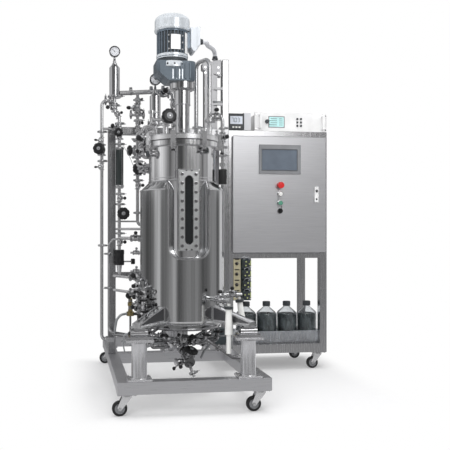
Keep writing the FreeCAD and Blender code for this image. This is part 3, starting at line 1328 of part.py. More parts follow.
def make_machine():
    make_base_frame()
    for name, place in {**skid_corners, **stand_corners}.items():
        caster(name, *place)
    make_supports()
    make_vessel_shell()
    make_jacket()
    make_sight_glass()
    make_lid()
    make_clamps()
    make_lantern()
    make_agitator()
    make_gear_housing()
    make_motor()
    make_rack()
    make_hoist_column()
    make_stand()
    make_cabinet()
    make_door()
    make_door_fittings()
    make_instruments()
    make_pump_unit()
    make_bottles()
    make_handwheels()
    make_rack_pipework()
    make_lid_pipework()
    make_bottom_pipework()
    make_filters()
    make_conduit()


make_machine()
write_parts()
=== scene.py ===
"""Looks of the pilot bioreactor: finishes, small fittings, studio light and the camera.

Pieces are drawn in millimetres about the vessel's axis and the floor, as the machine's drawings
have them, and turned into the frame's metres when they are done."""

from math import cos, hypot, radians, sin, sqrt, tan, tau

import bmesh
import bpy
from mathutils import Matrix, Vector


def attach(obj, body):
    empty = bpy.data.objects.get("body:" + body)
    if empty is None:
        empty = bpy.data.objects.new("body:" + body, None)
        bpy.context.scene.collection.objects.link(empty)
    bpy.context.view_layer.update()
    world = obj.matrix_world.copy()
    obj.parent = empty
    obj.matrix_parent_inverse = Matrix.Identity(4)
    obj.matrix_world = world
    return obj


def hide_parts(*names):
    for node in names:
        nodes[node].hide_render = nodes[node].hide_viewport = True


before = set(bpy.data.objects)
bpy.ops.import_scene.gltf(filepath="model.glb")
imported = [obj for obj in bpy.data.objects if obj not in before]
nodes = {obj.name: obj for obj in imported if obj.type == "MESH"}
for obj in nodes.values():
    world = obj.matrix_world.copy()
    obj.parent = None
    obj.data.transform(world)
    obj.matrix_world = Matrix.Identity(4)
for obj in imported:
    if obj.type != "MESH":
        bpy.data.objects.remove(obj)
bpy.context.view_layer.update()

VESSEL_X, VESSEL_Y = -0.286, -0.286
X, Y, Z = Vector((1, 0, 0)), Vector((0, 1, 0)), Vector((0, 0, 1))
# edges sharper than the first angle show as creases; soften() rounds those above the second
CREASE, CORNER = radians(34), radians(25)


def put(name, data):
    """A new object in the scene for some data."""
    thing = bpy.data.objects.new(name, data)
    bpy.context.scene.collection.objects.link(thing)
    return thing


# ---- mesh drawing

def around(along):
    """Two directions square to an axis, for drawing rings about it."""
    along = Vector(along).normalized()
    side = along.cross(Z if abs(along.z) < 0.9 else X).normalized()
    return side, along.cross(side), along


def circle(middle, side, other, radius, steps):
    """Points round a middle, in the plane of two directions."""
    return [middle + (side * cos(turn) + other * sin(turn)) * radius
            for turn in (tau * step / steps for step in range(steps))]


def spoke(degrees, reach=1.0, z=0.0):
    """A point that far out from an upright axis, at an angle seen from above."""
    turn = radians(degrees)
    return Vector((cos(turn) * reach, sin(turn) * reach, z))


def grid(xs, ys, zs):
    """Every point that takes one of the given numbers in each direction."""
    return [Vector((x, y, z)) for x in xs for y in ys for z in zs]


def disc(radius, height, inner=None, shoulder=None):
    """The profile of a disc, which narrows above its shoulder if an inner radius is given."""
    if inner is None:
        return [(radius, 0), (radius, height), (0, height)]
    return [(radius, 0), (radius, shoulder), (inner, height), (0, height)]


def mirrored(*half):
    """A profile with the same points below its middle as above, given from the top down."""
    return [(radius, -height) for radius, height in half] + [
        point for point in reversed(half) if point[1]]


class Piece:
    """One object's mesh, drawn in millimetres about the vessel's axis."""

    def __init__(self, finish):
        self.mesh = bmesh.new()
        self.finishes = []
        self.use(finish)

    def use(self, finish):
        """The finish of the faces that are drawn from here on."""
        if finish not in self.finishes:
            self.finishes.append(finish)
        self.current = self.finishes.index(finish)
        return self

    def loft(self, rings, looped=False):
        """Skin over rings of points; a ring of one point closes to it."""
        rows = [[self.mesh.verts.new(point) for point in ring] for ring in rings]
        faces = []
        for low, high in zip(rows, rows[1:] + rows[:1] if looped else rows[1:]):
            count = max(len(low), len(high))
            for place in range(count):
                after = (place + 1) % count
                corners = [low[place % len(low)], low[after % len(low)],
                           high[after % len(high)], high[place % len(high)]]
                faces.append([corner for index, corner in enumerate(corners)
                              if corner not in corners[:index]])
        if not looped:
            faces += [row for row in (rows[0][::-1], rows[-1]) if len(row) > 2]
        made = [self.mesh.faces.new(corners) for corners in faces]
        for face in made:
            face.material_index, face.smooth = self.current, True
        return made

    def lathe(self, profile, start, along=Z, steps=24, looped=False):
        """Turn (radius, height) pairs about an axis from a start point."""
        side, other, along = around(along)
        rings = []
        for radius, height in profile:
            middle = Vector(start) + along * height
            rings.append([middle] if radius == 0 else circle(middle, side, other, radius, steps))
        return self.loft(rings, looped)

    def rod(self, radius, start, along, length, steps=20, edge=None):
        """A round bar with chamfered ends."""
        edge = min(radius, length) * 0.15 if edge is None else edge
        return self.lathe([(0, 0), (radius - edge, 0), (radius, edge), (radius, length - edge),
                           (radius - edge, length), (0, length)], start, along, steps)

    def ring(self, radius, thick, centre, along=Z, steps=24, sides=8):
        """A torus."""
        return self.lathe([(radius + thick * cos(turn), thick * sin(turn))
                           for turn in (tau * side / sides for side in range(sides))],
                          centre, along, steps, looped=True)

    def sweep(self, points, radius, bend=None, steps=12, looped=False):
        """A round bar through points, rounded at each turn."""
        points = [Vector(point) for point in points]
        path = points if bend == 0 else rounded(points, bend or radius * 3)
        side = None
        rings = []
        for index, here in enumerate(path):
            before = path[index - 1] if index or looped else here
            after = path[(index + 1) % len(path)] if index + 1 < len(path) or looped else here
            along = (after - before).normalized()
            side = around(along)[0] if side is None else (side - along * side.dot(along)).normalized()
            rings.append(circle(here, side, along.cross(side), radius, steps))
        return self.loft(rings, looped)

    def prism(self, outline, start, along, up, length, edge=0.0):
        """A flat outline drawn on an axis's plane and raised along the axis."""
        along, up = Vector(along).normalized(), Vector(up)
        up = (up - along * up.dot(along)).normalized()
        side = up.cross(along)
        base = [Vector(start) + side * x + up * y for x, y in outline]
        return self.soften(self.loft([base, [point + along * length for point in base]]), edge)

    def box(self, centre, size, edge=1.0, turn=Matrix.Identity(3)):
        """A box with rounded edges about its centre, turned by a matrix if one is given."""
        half = Vector(size) / 2
        rings = [[Vector(centre) + turn @ Vector((half.x * x, half.y * y, half.z * z))
                  for x, y in ((-1, -1), (1, -1), (1, 1), (-1, 1))] for z in (-1, 1)]
        return self.soften(self.loft(rings), edge)

    def soften(self, faces, edge):
        """Round the sharp edges of some faces."""
        if edge:
            edges = {line for face in faces for line in face.edges if line.calc_face_angle(0) > CORNER}
            bmesh.ops.bevel(self.mesh, geom=list(edges), offset=edge, segments=2, profile=0.5,
                            affect="EDGES", clamp_overlap=True)
        return faces

    def bolt(self, centre, along, radius=5.0, height=4.0):
        """A hexagon head on its washer."""
        self.lathe([(radius * 1.35, 0), (radius * 1.35, 1), (0, 1)], centre, along, 14)
        self.lathe([(radius, 0.5), (radius, height - 0.6), (radius * 0.86, height), (0, height)],
                   centre, along, 6)

    def done(self, name, body="machine", replaces=(), slot=None):
        """Close the mesh up as an object that rides on a body."""
        bmesh.ops.recalc_face_normals(self.mesh, faces=self.mesh.faces)
        for line in self.mesh.edges:
            line.smooth = line.calc_face_angle(0) < CREASE
        self.mesh.transform(Matrix.Translation((VESSEL_X, VESSEL_Y, 0)) @ Matrix.Scale(0.001, 4))
        data = bpy.data.meshes.new(name)
        self.mesh.to_mesh(data)
        self.mesh.free()
        for finish in self.finishes:
            data.materials.append(finish)
        piece = put(name, data)
        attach(piece, body)
        if replaces:
            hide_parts(*replaces)


def rounded(points, bend, parts=5):
    """The points of a path with each turn eased by an arc."""
    path = [points[0]]
    for before, here, after in zip(points, points[1:], points[2:]):
        into, out = (here - before).normalized(), (after - here).normalized()
        turn = into.angle(out)
        if turn < 0.02:
            path.append(here)
            continue
        reach = min(bend * tan(turn / 2), (here - before).length * 0.48,
                    (after - here).length * 0.48)
        radius = reach / tan(turn / 2)
        middle = here + (out - into).normalized() * radius / cos(turn / 2)
        arm = here - into * reach - middle
        axis = into.cross(out).normalized()
        path += [middle + Matrix.Rotation(turn * part / parts, 3, axis) @ arm
                 for part in range(parts + 1)]
    return path + [points[-1]]


# ---- camera

camera = put("camera", bpy.data.cameras.new("camera"))
camera.location = (-0.897, -3.712, 0.892)
camera.rotation_euler = (radians(90), 0, -radians(7.75))
camera.data.lens = 51.2
camera.data.shift_x = 0.154
camera.data.shift_y = 0.014
camera.data.clip_end = 60
bpy.context.scene.camera = camera


# ---- finishes

def wired(tree, kind, *sources, **settings):
    """A node whose first inputs take the given outputs, colours or numbers."""
    made = tree.nodes.new("ShaderNode" + kind)
    for key, value in settings.items():
        setattr(made, key, value)
    for socket, source in zip(made.inputs, sources):
        if isinstance(source, bpy.types.NodeSocket):
            tree.links.new(source, socket)
        elif source is not None:
            socket.default_value = source
    return made


def mix_colours(tree, part, first, second):
    """A blend of two colours; the mix node keeps its colours behind five other inputs."""
    return wired(tree, "Mix", part, *[None] * 5, first, second, data_type="RGBA").outputs[2]


class Finish:
    """A procedural finish on the Principled shader, built up from small patterns."""

    def __init__(self, name, colour, rough, metal=0.0, **sockets):
        self.material = bpy.data.materials.new(name)
        self.material.use_nodes = True
        self.tree = self.material.node_tree
        self.shader = self.tree.nodes["Principled BSDF"]
        self.shader.inputs["Metallic"].default_value = metal
        self.shader.inputs["Roughness"].default_value = rough
        self.shader.inputs["Base Color"].default_value = (*colour, 1)
        for socket, value in sockets.items():
            self.shader.inputs[socket.replace("_", " ")].default_value = value
        self.colour, self.rough = colour, rough
        self.place = self.add("TexCoord").outputs["Object"]
        self.height = None

    def add(self, kind, *sources, **settings):
        return wired(self.tree, kind, *sources, **settings)

    def link(self, source, target):
        self.tree.links.new(source, target)

    def noise(self, scale, stretch=(1, 1, 1), detail=3.0):
        """Noise over the object, finer along the axes with a larger stretch."""
        mapping = self.add("Mapping", self.place)
        mapping.inputs["Scale"].default_value = [scale * part for part in stretch]
        noise = self.add("TexNoise", mapping.outputs["Vector"])
        noise.inputs["Scale"].default_value = 1
        noise.inputs["Detail"].default_value = detail
        return noise.outputs["Fac"]

    def span(self, pattern, low, high):
        """Spread the middle part of a 0 to 1 pattern between two values."""
        return self.add("MapRange", pattern, 0.3, 0.7, low, high).outputs["Result"]

    def shade(self, pattern, low, high):
        """Vary the colour's strength between two factors by a pattern."""
        ends = [(*[min(1, part * factor) for part in self.colour], 1) for factor in (low, high)]
        mixed = mix_colours(self.tree, self.span(pattern, 0, 1), *ends)
        self.link(mixed, self.shader.inputs["Base Color"])
        return self

    def vary_rough(self, pattern, spread):
        self.link(self.span(pattern, self.rough - spread, self.rough + spread),
                  self.shader.inputs["Roughness"])
        return self

    def bump(self, pattern, strength, depth):
        """Raise the surface by a pattern, on top of the bumps already there."""
        bump = self.add("Bump")
        bump.inputs["Strength"].default_value = strength
        bump.inputs["Distance"].default_value = depth
        self.link(pattern, bump.inputs["Height"])
        if self.height is not None:
            self.link(self.height, bump.inputs["Normal"])
        self.height = bump.outputs["Normal"]
        self.link(self.height, self.shader.inputs["Normal"])
        return self


def brushed(name, colour, rough, grain, strength=0.12, metal=1.0):
    """Satin stainless steel with its grain along one direction."""
    finish = Finish(name, colour, rough, metal=metal)
    fine = finish.noise(1, grain, 4)
    finish.shade(fine, 0.93, 1.05).vary_rough(fine, 0.05).bump(fine, strength, 0.0004)
    return finish.material


def polished(name, colour, rough, wave=0.05, metal=1.0):
    """Bright stainless steel: faint smears, fine lines, and slight waviness of rolled sheet."""
    finish = Finish(name, colour, rough, metal=metal)
    smear = finish.noise(9, (1, 1, 0.4), 4)
    fine = finish.noise(1, (60, 60, 900), 2)
    roll = finish.noise(5, (1, 1, 0.25), 1)
    finish.shade(smear, 0.94, 1.04).vary_rough(smear, 0.035)
    return finish.bump(fine, 0.012, 0.0003).bump(roll, wave, 0.02).material


def rolled(name, colour, rough):
    """Polished rolled sheet, with the fine upright streaks that its drawing leaves, whose tone also stands
    in for painted reflection bands.
    """
    finish = Finish(name, colour, rough, metal=1.0)
    lines = finish.noise(1, (85, 85, 0.9), 3)
    roll = finish.noise(5, (1, 1, 0.25), 1)
    # upright streaks of lighter and darker tone, partly painted reflection bands
    finish.shade(lines, 0.88, 1.12).vary_rough(lines, 0.03)
    return finish.bump(lines, 0.03, 0.002).bump(roll, 0.02, 0.02).material


def moulded(name, colour, rough, grain=900, strength=0.12, **sockets):
    """Moulded plastic or rubber with a fine texture and slight unevenness of tone."""
    finish = Finish(name, colour, rough, **sockets)
    fine, broad = finish.noise(grain, detail=2), finish.noise(14, detail=4)
    return finish.shade(broad, 0.9, 1.1).vary_rough(fine, 0.05).bump(fine, strength, 0.0003).material


def painted(name, colour, rough, **sockets):
    """Sprayed enamel: slight orange peel, dulled in patches."""
    finish = Finish(name, colour, rough, **sockets)
    peel, broad = finish.noise(420, detail=2), finish.noise(11, detail=4)
    return finish.shade(broad, 0.92, 1.08).vary_rough(broad, 0.06).bump(peel, 0.12, 0.0005).material


def grey(level, blue=0.01):
    """A grey that is slightly bluer than even."""
    return level, level, level + blue


ALONG_Z, ALONG_X, BLASTED = (700, 700, 9), (9, 700, 700), (260, 260, 260)
turned_steel = polished("turned_steel", grey(0.70), 0.16)
shell_steel = rolled("shell_steel", (0.72, 0.725, 0.73), 0.12)
neck_steel = rolled("neck_steel", grey(0.92, 0.02), 0.13)
flange_steel = polished("flange_steel", grey(0.86), 0.22, metal=0.78)
# a darker copy of the pipes' polished steel: painted shade for the pipes under the vessel, where the steel
# sits in shade
painted_shade_tube_steel = polished("painted_shade_tube_steel", grey(0.46), 0.17, wave=0.0)
pipe_steel = polished("pipe_steel", grey(0.72), 0.17, wave=0.0, metal=0.88)
weld_steel = polished("weld_steel", grey(0.78), 0.22, wave=0.1)
dark_bolt = polished("dark_bolt", grey(0.16, 0.005), 0.3, wave=0.0)
brass = polished("brass", (0.56, 0.45, 0.22), 0.25, wave=0.0)
post_steel = brushed("post_steel", grey(0.64), 0.24, ALONG_Z, 0.02)
light_steel = brushed("light_steel", grey(0.40), 0.38, ALONG_Z, 0.03)
beam_steel = brushed("beam_steel", grey(0.70, 0.02), 0.32, ALONG_X, 0.015, metal=0.9)
rack_steel = brushed("rack_steel", grey(0.52), 0.26, ALONG_Z, 0.02)
pillar_steel = brushed("pillar_steel", grey(0.70, 0.02), 0.24, ALONG_Z, 0.015, metal=0.78)
door_steel = brushed("door_steel", grey(0.77, 0.02), 0.38, ALONG_X, 0.05, metal=0.95)
glass_frame_steel = brushed("glass_frame_steel", (0.80, 0.81, 0.81), 0.34, BLASTED, 0.2)
# a dark steel sheet standing for painted shade in the brackets' open gussets
shadow_steel = brushed("shadow_steel", grey(0.20), 0.35, ALONG_Z)
motor_paint = painted("motor_paint", (0.19, 0.23, 0.275), 0.26, Metallic=0.4)
gear_paint = painted("gear_paint", (0.105, 0.13, 0.155), 0.32, Metallic=0.3)
cowl_paint = painted("cowl_paint", (0.74, 0.78, 0.82), 0.26, Metallic=0.5)
box_paint = painted("box_paint", (0.60, 0.63, 0.67), 0.3)
light_case = painted("light_case", (0.62, 0.63, 0.66), 0.4)
white_paint = painted("white_paint", grey(0.80, 0), 0.38)
black_plastic = moulded("black_plastic", grey(0.012, 0.001), 0.33)
dark_plastic = moulded("dark_plastic", (0.045, 0.05, 0.055), 0.38)
slate_plastic = moulded("slate_plastic", (0.05, 0.066, 0.072), 0.36)
grey_plastic = moulded("grey_plastic", (0.22, 0.225, 0.235), 0.42)
white_plastic = moulded("white_plastic", grey(0.82, -0.02), 0.35)
cream_plastic = moulded("cream_plastic", (0.66, 0.60, 0.40), 0.4)
red_plastic = moulded("red_plastic", (0.62, 0.02, 0.02), 0.3)
green_plastic = moulded("green_plastic", (0.10, 0.32, 0.22), 0.25)
roller_tint = moulded("roller_tint", (0.55, 0.62, 0.25), 0.3)
bezel_dark = moulded("bezel_dark", (0.10, 0.105, 0.115), 0.35)
rubber = moulded("rubber", grey(0.016, 0.001), 0.55, 500, 0.3)
hose_grey = moulded("hose_grey", (0.30, 0.31, 0.32), 0.38, 300, 0.2)
lcd_glow = moulded("lcd_glow", (0.50, 0.80, 0.80), 0.22, 300, 0.02)
lcd_ink = moulded("lcd_ink", (0.05, 0.09, 0.10), 0.3, 300, 0.02)
display_pane = moulded("display_pane", (0.62, 0.66, 0.74), 0.2, 300, 0.02)
screen_glass = moulded("screen_glass", (0.13, 0.155, 0.19), 0.12, 200, 0.01)
dark_glass = moulded("dark_glass", (0.03, 0.036, 0.036), 0.1, 40, 0.02)
sight_pane = moulded("sight_pane", (0.012, 0.014, 0.015), 0.06, 40, 0.02)
clear_plastic = moulded("clear_plastic", (0.86, 0.88, 0.92), 0.10, Transmission_Weight=0.78, IOR=1.35)
bottle_glass = moulded("bottle_glass", (0.80, 0.815, 0.825), 0.05, 60, 0.05,
                       Transmission_Weight=1.0, IOR=1.3)
# patches of lighter and darker tone in the medium, the lighter ones painted glints
medium_glints = Finish("liquid", (0.14, 0.16, 0.165), 0.08, Transmission_Weight=0.25)
medium_glints.shade(medium_glints.noise(34, (1.6, 1.6, 0.5), detail=5), 0.5, 1.6)
liquid = medium_glints.bump(medium_glints.noise(30), 0.05, 0.0003).material

# every node of the frame by its finish; handwheels and casters by the end of their name
NODE_FINISHES = (
    (turned_steel, "load_cells drive_lantern agitator air_filter exhaust_filter pressure_gauges"),
    (pipe_steel, "lid_clamps rack_pipework lid_pipework"),
    (door_steel, "cabinet_body cabinet_door"),
    # the bottom pipework takes the darker tube steel as painted shade
    (flange_steel, "vessel_lid caster_fork"), (painted_shade_tube_steel, "bottom_pipework"),
    (beam_steel, "base_frame"), (pillar_steel, "support_pillars"), (neck_steel, "vessel_shell"),
    (shell_steel, "vessel_jacket"), (glass_frame_steel, "sight_glass_frame"),
    (sight_pane, "sight_glass"), (rack_steel, "rack_frame"), (light_steel, "hoist_column"),
    (post_steel, "stand_frame"), (gear_paint, "gear_housing"), (motor_paint, "motor_body"),
    (cowl_paint, "fan_cowl"), (box_paint, "terminal_box"), (light_case, "motor_conduit"),
    (white_paint, "door_latch gas_analyzer"), (white_plastic, "white_button probe_sleeves"),
    (grey_plastic, "control_gear touch_screen"), (slate_plastic, "pump_unit"),
    (dark_plastic, "ph_display bottle_caps"), (black_plastic, "selector_switch handwheel"),
    (red_plastic, "emergency_stop"), (green_plastic, "green_button"), (rubber, "caster_wheel"),
    (clear_plastic, "bottle_tray"), (bottle_glass, "bottles"),
)
for name, node in nodes.items():
    node.data.materials.clear()
    for finish, endings in NODE_FINISHES:
        if name.endswith(tuple(endings.split())):
            node.data.materials.append(finish)

# rolled corners of the tubes and folded sheet, in metres
ROUNDED = {"base_frame": 0.004, "stand_frame": 0.004, "rack_frame": 0.004, "cabinet_body": 0.002,
           "cabinet_door": 0.002, "gas_analyzer": 0.0015, "hoist_column": 0.002,
           "gear_housing": 0.003, "terminal_box": 0.003, "support_pillars": 0.0015}
for name, width in ROUNDED.items():
    nodes[name].modifiers.new("weld", "WELD").merge_threshold = 0.00002
    bevel = nodes[name].modifiers.new("bevel", "BEVEL")
    bevel.width, bevel.segments = width, 2
    bevel.limit_method, bevel.angle_limit = "ANGLE", radians(40)
    bevel.harden_normals = True


# ---- drive

MOTOR = Vector((-55, 0, 0))


def make_drive_details():
    """Cowl rim and grille, motor plates, rings on the gear case and the lantern, cable glands; a white
    strip and light ribs as painted highlights, and a dark sleeve as painted shade between the fins.
    """
    cowl = Piece(cowl_paint)
    cowl.lathe([(94.8, 0), (96.6, 1.5), (96.6, 8), (94.8, 9.5)], MOTOR + Z * 1972, Z, 48, True)
    for radius in (30, 44, 58):
        cowl.ring(radius, 1.6, MOTOR + Z * 2052.5, Z, 40, 6)
    for turn in range(0, 360, 60):
        cowl.sweep([MOTOR + spoke(turn, reach, 2052.3) for reach in (16, 60)], 1.6, steps=6)
    cowl.use(turned_steel)
    for turn in range(45, 360, 90):
        cowl.bolt(MOTOR + spoke(turn, 94.5, 1977), spoke(turn), 3.2, 3)
    cowl.done("cowl_details")

    plate = Piece(white_paint)
    # the wider plate is the nameplate; the narrow tall one is a white pad, a painted highlight where the
    # fins on the right catch the light
    for first, last, low, high in ((-103, -68, 1857, 1936), (-46, -28, 1842, 1954)):
        turns = [first + (last - first) * part / 5 for part in range(6)]
        ring = [(turn, 85.2) for turn in turns] + [(turn, 86.6) for turn in reversed(turns)]
        plate.loft([[MOTOR + spoke(turn, reach, z) for turn, reach in ring] for z in (low, high)])
    plate.use(flange_steel)
    for turn in (-111, -58):
        for z in (1860, 1896, 1932):
            plate.bolt(MOTOR + spoke(turn, 84.2, z), spoke(turn), 3.4, 4)
    plate.use(cowl_paint).lathe([(83, 0), (86, 1), (86, 13), (83, 15)], MOTOR + Z * 1827, Z, 48, True)
    # a dark sleeve between the motor's cooling fins: painted shade in the fin valleys
    plate.use(dark_plastic).lathe([(76.4, 0), (76.4, 118)], MOTOR + Z * 1843, Z, 48)
    plate.lathe([(78.3, 0), (78.8, 1), (78.8, 16), (78.3, 17)], MOTOR + Z * 1800.6, Z, 48, True)
    plate.done("motor_plates_and_painted_light")

    gear = Piece(cowl_paint)
    gear.lathe([(80, 0), (84.5, 2), (84.5, 7), (80, 9)], MOTOR + Z * 1817, Z, 48, True)
    gear.lathe([(74, 0), (87, 3), (87, 28), (84, 33), (77, 35)], MOTOR + Z * 1765, Z, 56, True)
    # ribs on the dark gear case in light paint: painted highlights along the ribs
    for x in (-62, -42, -27, -12):
        gear.box((x, -75.6, 1728), (6, 3, 52))
    gear.use(dark_bolt)
    for turn in (-115, -90, -62):
        gear.bolt(MOTOR + spoke(turn, 86.4, 1782), spoke(turn), 4, 4)
    gear.use(flange_steel)
    for place in range(8):
        gear.bolt(MOTOR + spoke(22.5 + 45 * place, 80, 1826), Z, 4, 4)
        gear.bolt(spoke(22.5 + 45 * place, 58, 1660.4), -Z, 4.5, 5)
    gear.done("gear_details")

    lantern = Piece(turned_steel)
    lantern.ring(44, 2.6, Z * 1576, steps=40)
    lantern.ring(41, 2.0, Z * 1440, steps=40)
    for turn in range(30, 360, 60):
        lantern.bolt(spoke(turn, 48.5, 1420.3), Z, 4, 5)
    lantern.done("lantern_details")

    glands = Piece(dark_plastic)
    for place, along in (((92, 0, 1925), X), ((268.5, 372, 1930.3), Z)):
        glands.lathe([(16, 0), (18.5, 1.5), (18.5, 9), (15.5, 11), (15.5, 18), (13.5, 22)], place,
                     along, 12)
    glands.done("conduit_glands")


# ---- gauges and handwheels

# the rack's pipes stand in one upright plane, this far behind the vessel's axis
RACK = 300


def dial(piece, centre, radius, reading):
    """A pale dial that faces the front, with its ticks, needle and boss."""
    piece.use(light_case).lathe(disc(radius, 0.6), centre, -Y, 32)
    piece.use(black_plastic).lathe([(2.6, 0), (2.6, 1.6), (0, 1.8)], centre - Y * 0.6, -Y, 12)
    marks = [(225 - 27 * tick, 0.72 if tick % 5 else 0.62, 0.92, 1.1, 1) for tick in range(11)]
    for degrees, low, high, width, rise in marks + [(225 - 270 * reading, -0.13, 0.77, 1.3, 1.6)]:
        turn = Matrix.Rotation(-radians(degrees), 3, "Y")
        piece.box(centre - Y * rise + turn @ X * radius * (low + high) / 2,
                  (radius * (high - low), 0.5, width), 0, turn)


def make_gauges():
    """A bezel, a dial and a union nut on each of the two gauges."""
    gauges = Piece(turned_steel)
    for spot in ((-346, RACK, 1935.3), (-135, 95.9, 1731.6)):
        spot = Vector(spot)
        gauges.use(dark_bolt)
        gauges.lathe([(27.5, 0), (31.5, 0), (32.2, 1.5), (31.5, 3.6), (29, 4.6), (26.5, 3)],
                     spot - Y * 16, -Y, 36, looped=True)
        dial(gauges, spot - Y * 16, 27, 0.32)
        gauges.use(turned_steel).rod(7.5, spot - Z * 52, Z, 12, 6)
    gauges.done("gauge_faces", slot="polished_stainless")


VALVES = {
    # name: valve centre, stem direction, handwheel radius, distance to the handwheel
    "steam": ((-420, RACK, 1364), (-0.3, -1, 0), 34, 58),
    "air": ((-318, RACK, 1460), (-0.15, -1, 0), 26, 46),
    "water": ((-300, RACK, 994), (0, -1, 0), 36, 58),
    "exhaust": ((-211, RACK, 1251), (0, -1, 0), 36, 58),
    "feed": ((-211, RACK, 1362), (-1, -0.25, 0), 31, 38),
    "lid": ((-103.4, -86.8, 1483), (0.15, -1, 0.1), 40, 52),
    "drain": ((16, -86, 212), (0.25, -0.35, 0.9), 37, 46),
}


def make_handwheel_details():
    """A cap on each handwheel, wider on the lid's; bonnets with their rings and bolts."""
    bonnets = Piece(turned_steel)
    for name, (centre, along, radius, reach) in VALVES.items():
        centre, (side, other, along) = Vector(centre), around(along)
        face = centre + along * (reach + 24)
        wide = 0.42 if name == "lid" else 0.3
        cap = Piece(grey_plastic)
        cap.lathe([(radius * wide, -1.5), (radius * wide, 0.6), (radius * (wide - 0.06), 1.6),
                   (0, 1.9)], face - along * 0.4, along, 24)
        cap.use(turned_steel).lathe(disc(4, 3, 3, 2.2), face, along, 6)
        cap.done(f"{name}_wheel_cap", f"{name}_wheel_body")
        for low in (0.2, 0.62):
            bonnets.ring(radius * 0.66, 2.2, centre + along * reach * low, along, 28)
        for turn in range(45, 360, 90):
            out = spoke(turn, radius * 0.68)
            bonnets.bolt(centre + side * out.x + other * out.y + along * (reach * 0.45 + 8), along,
                         3.4, 4)
    bonnets.done("valve_bonnet_details", slot="polished_stainless")


# ---- instruments

def segment_digits(piece, text, left, low, front, height):
    """Seven-segment numbers on a display that faces the front."""
    lit = {"0": "abcdef", "3": "abgcd", "7": "abc"}
    width, thick = height * 0.5, height * 0.12
    for sign in text:
        if sign == ".":
            piece.box((left - thick * 0.6, front, low), (thick, 0.6, thick), 0)
            continue
        for part in lit[sign]:
            row = {"a": 1, "b": 0.75, "c": 0.25, "d": 0, "e": 0.25, "f": 0.75, "g": 0.5}[part]
            column = {"b": 1, "c": 1, "e": 0, "f": 0}.get(part, 0.5)
            flat = part in "adg"
            size = (width - thick, 0.6, thick) if flat else (thick, 0.6, height / 2 - thick)
            piece.box((left + width * column, front, low + height * row), size, 0)
        left += width * 1.55


def frame_round(piece, xs, y, zs, radius, bend):
    """A bar round the edge of an upright opening."""
    (left, right), (low, high) = xs, zs
    piece.sweep([(left, y, low), (right, y, low), (right, y, high), (left, y, high)], radius, bend,
                looped=True)


def make_instruments():
    """Screen, keys and knob of the gas analyser, and the face of the pH display."""
    front = 530.0
    face = Piece(lcd_glow)
    face.box((708, front - 0.4, 1592), (96, 1.6, 62))
    face.use(grey_plastic).box((708, front, 1592), (108, 1.2, 74))
    face.use(lcd_ink)
    for row in range(4):
        longer, z = 10 * (row % 2), 1612 - 13 * row
        face.box((690 - longer * 0.6, front - 1.4, z), (44 + longer, 0.4, 3.4), 0)
        face.box((736, front - 1.4, z), (24, 0.4, 3.4), 0)
    face.use(dark_plastic)
    for spot in grid((846, 870), (front - 2,), (1570, 1592, 1614)):
        face.box(spot, (12, 5, 12), 2)
    face.use(turned_steel)
    for spot in grid((572, 1035), (front,), (1546, 1638)):
        face.lathe(disc(5, 2.6, 3.6, 1.4), spot, -Y, 16)
    face.done("analyzer_face", slot="white_paint")

    knob = Piece(dark_plastic)
    knob.lathe([(13.5, 0), (13.5, 8), (12, 16), (10, 17.4), (0, 17.4)], (644, front - 0.5, 1593), -Y, 20)
    knob.done("analyzer_knob", slot="black_plastic")

    display = Piece(display_pane)
    display.box((444, front - 0.5, 1598), (80, 1.6, 50))
    segment_digits(display.use(lcd_ink), "7.03", 414, 1586, front - 1.6, 25)
    display.use(white_plastic)
    for x in (424, 444, 464):
        display.box((x, front - 1.6, 1553), (12, 4, 9), 1.5)
    frame_round(display.use(dark_plastic), (396, 492), front - 1, (1536, 1637), 2.4, 6)
    display.use(light_case).box((518, 538, 1590), (44, 6, 108), 2)
    display.done("display_face", slot="black_plastic")


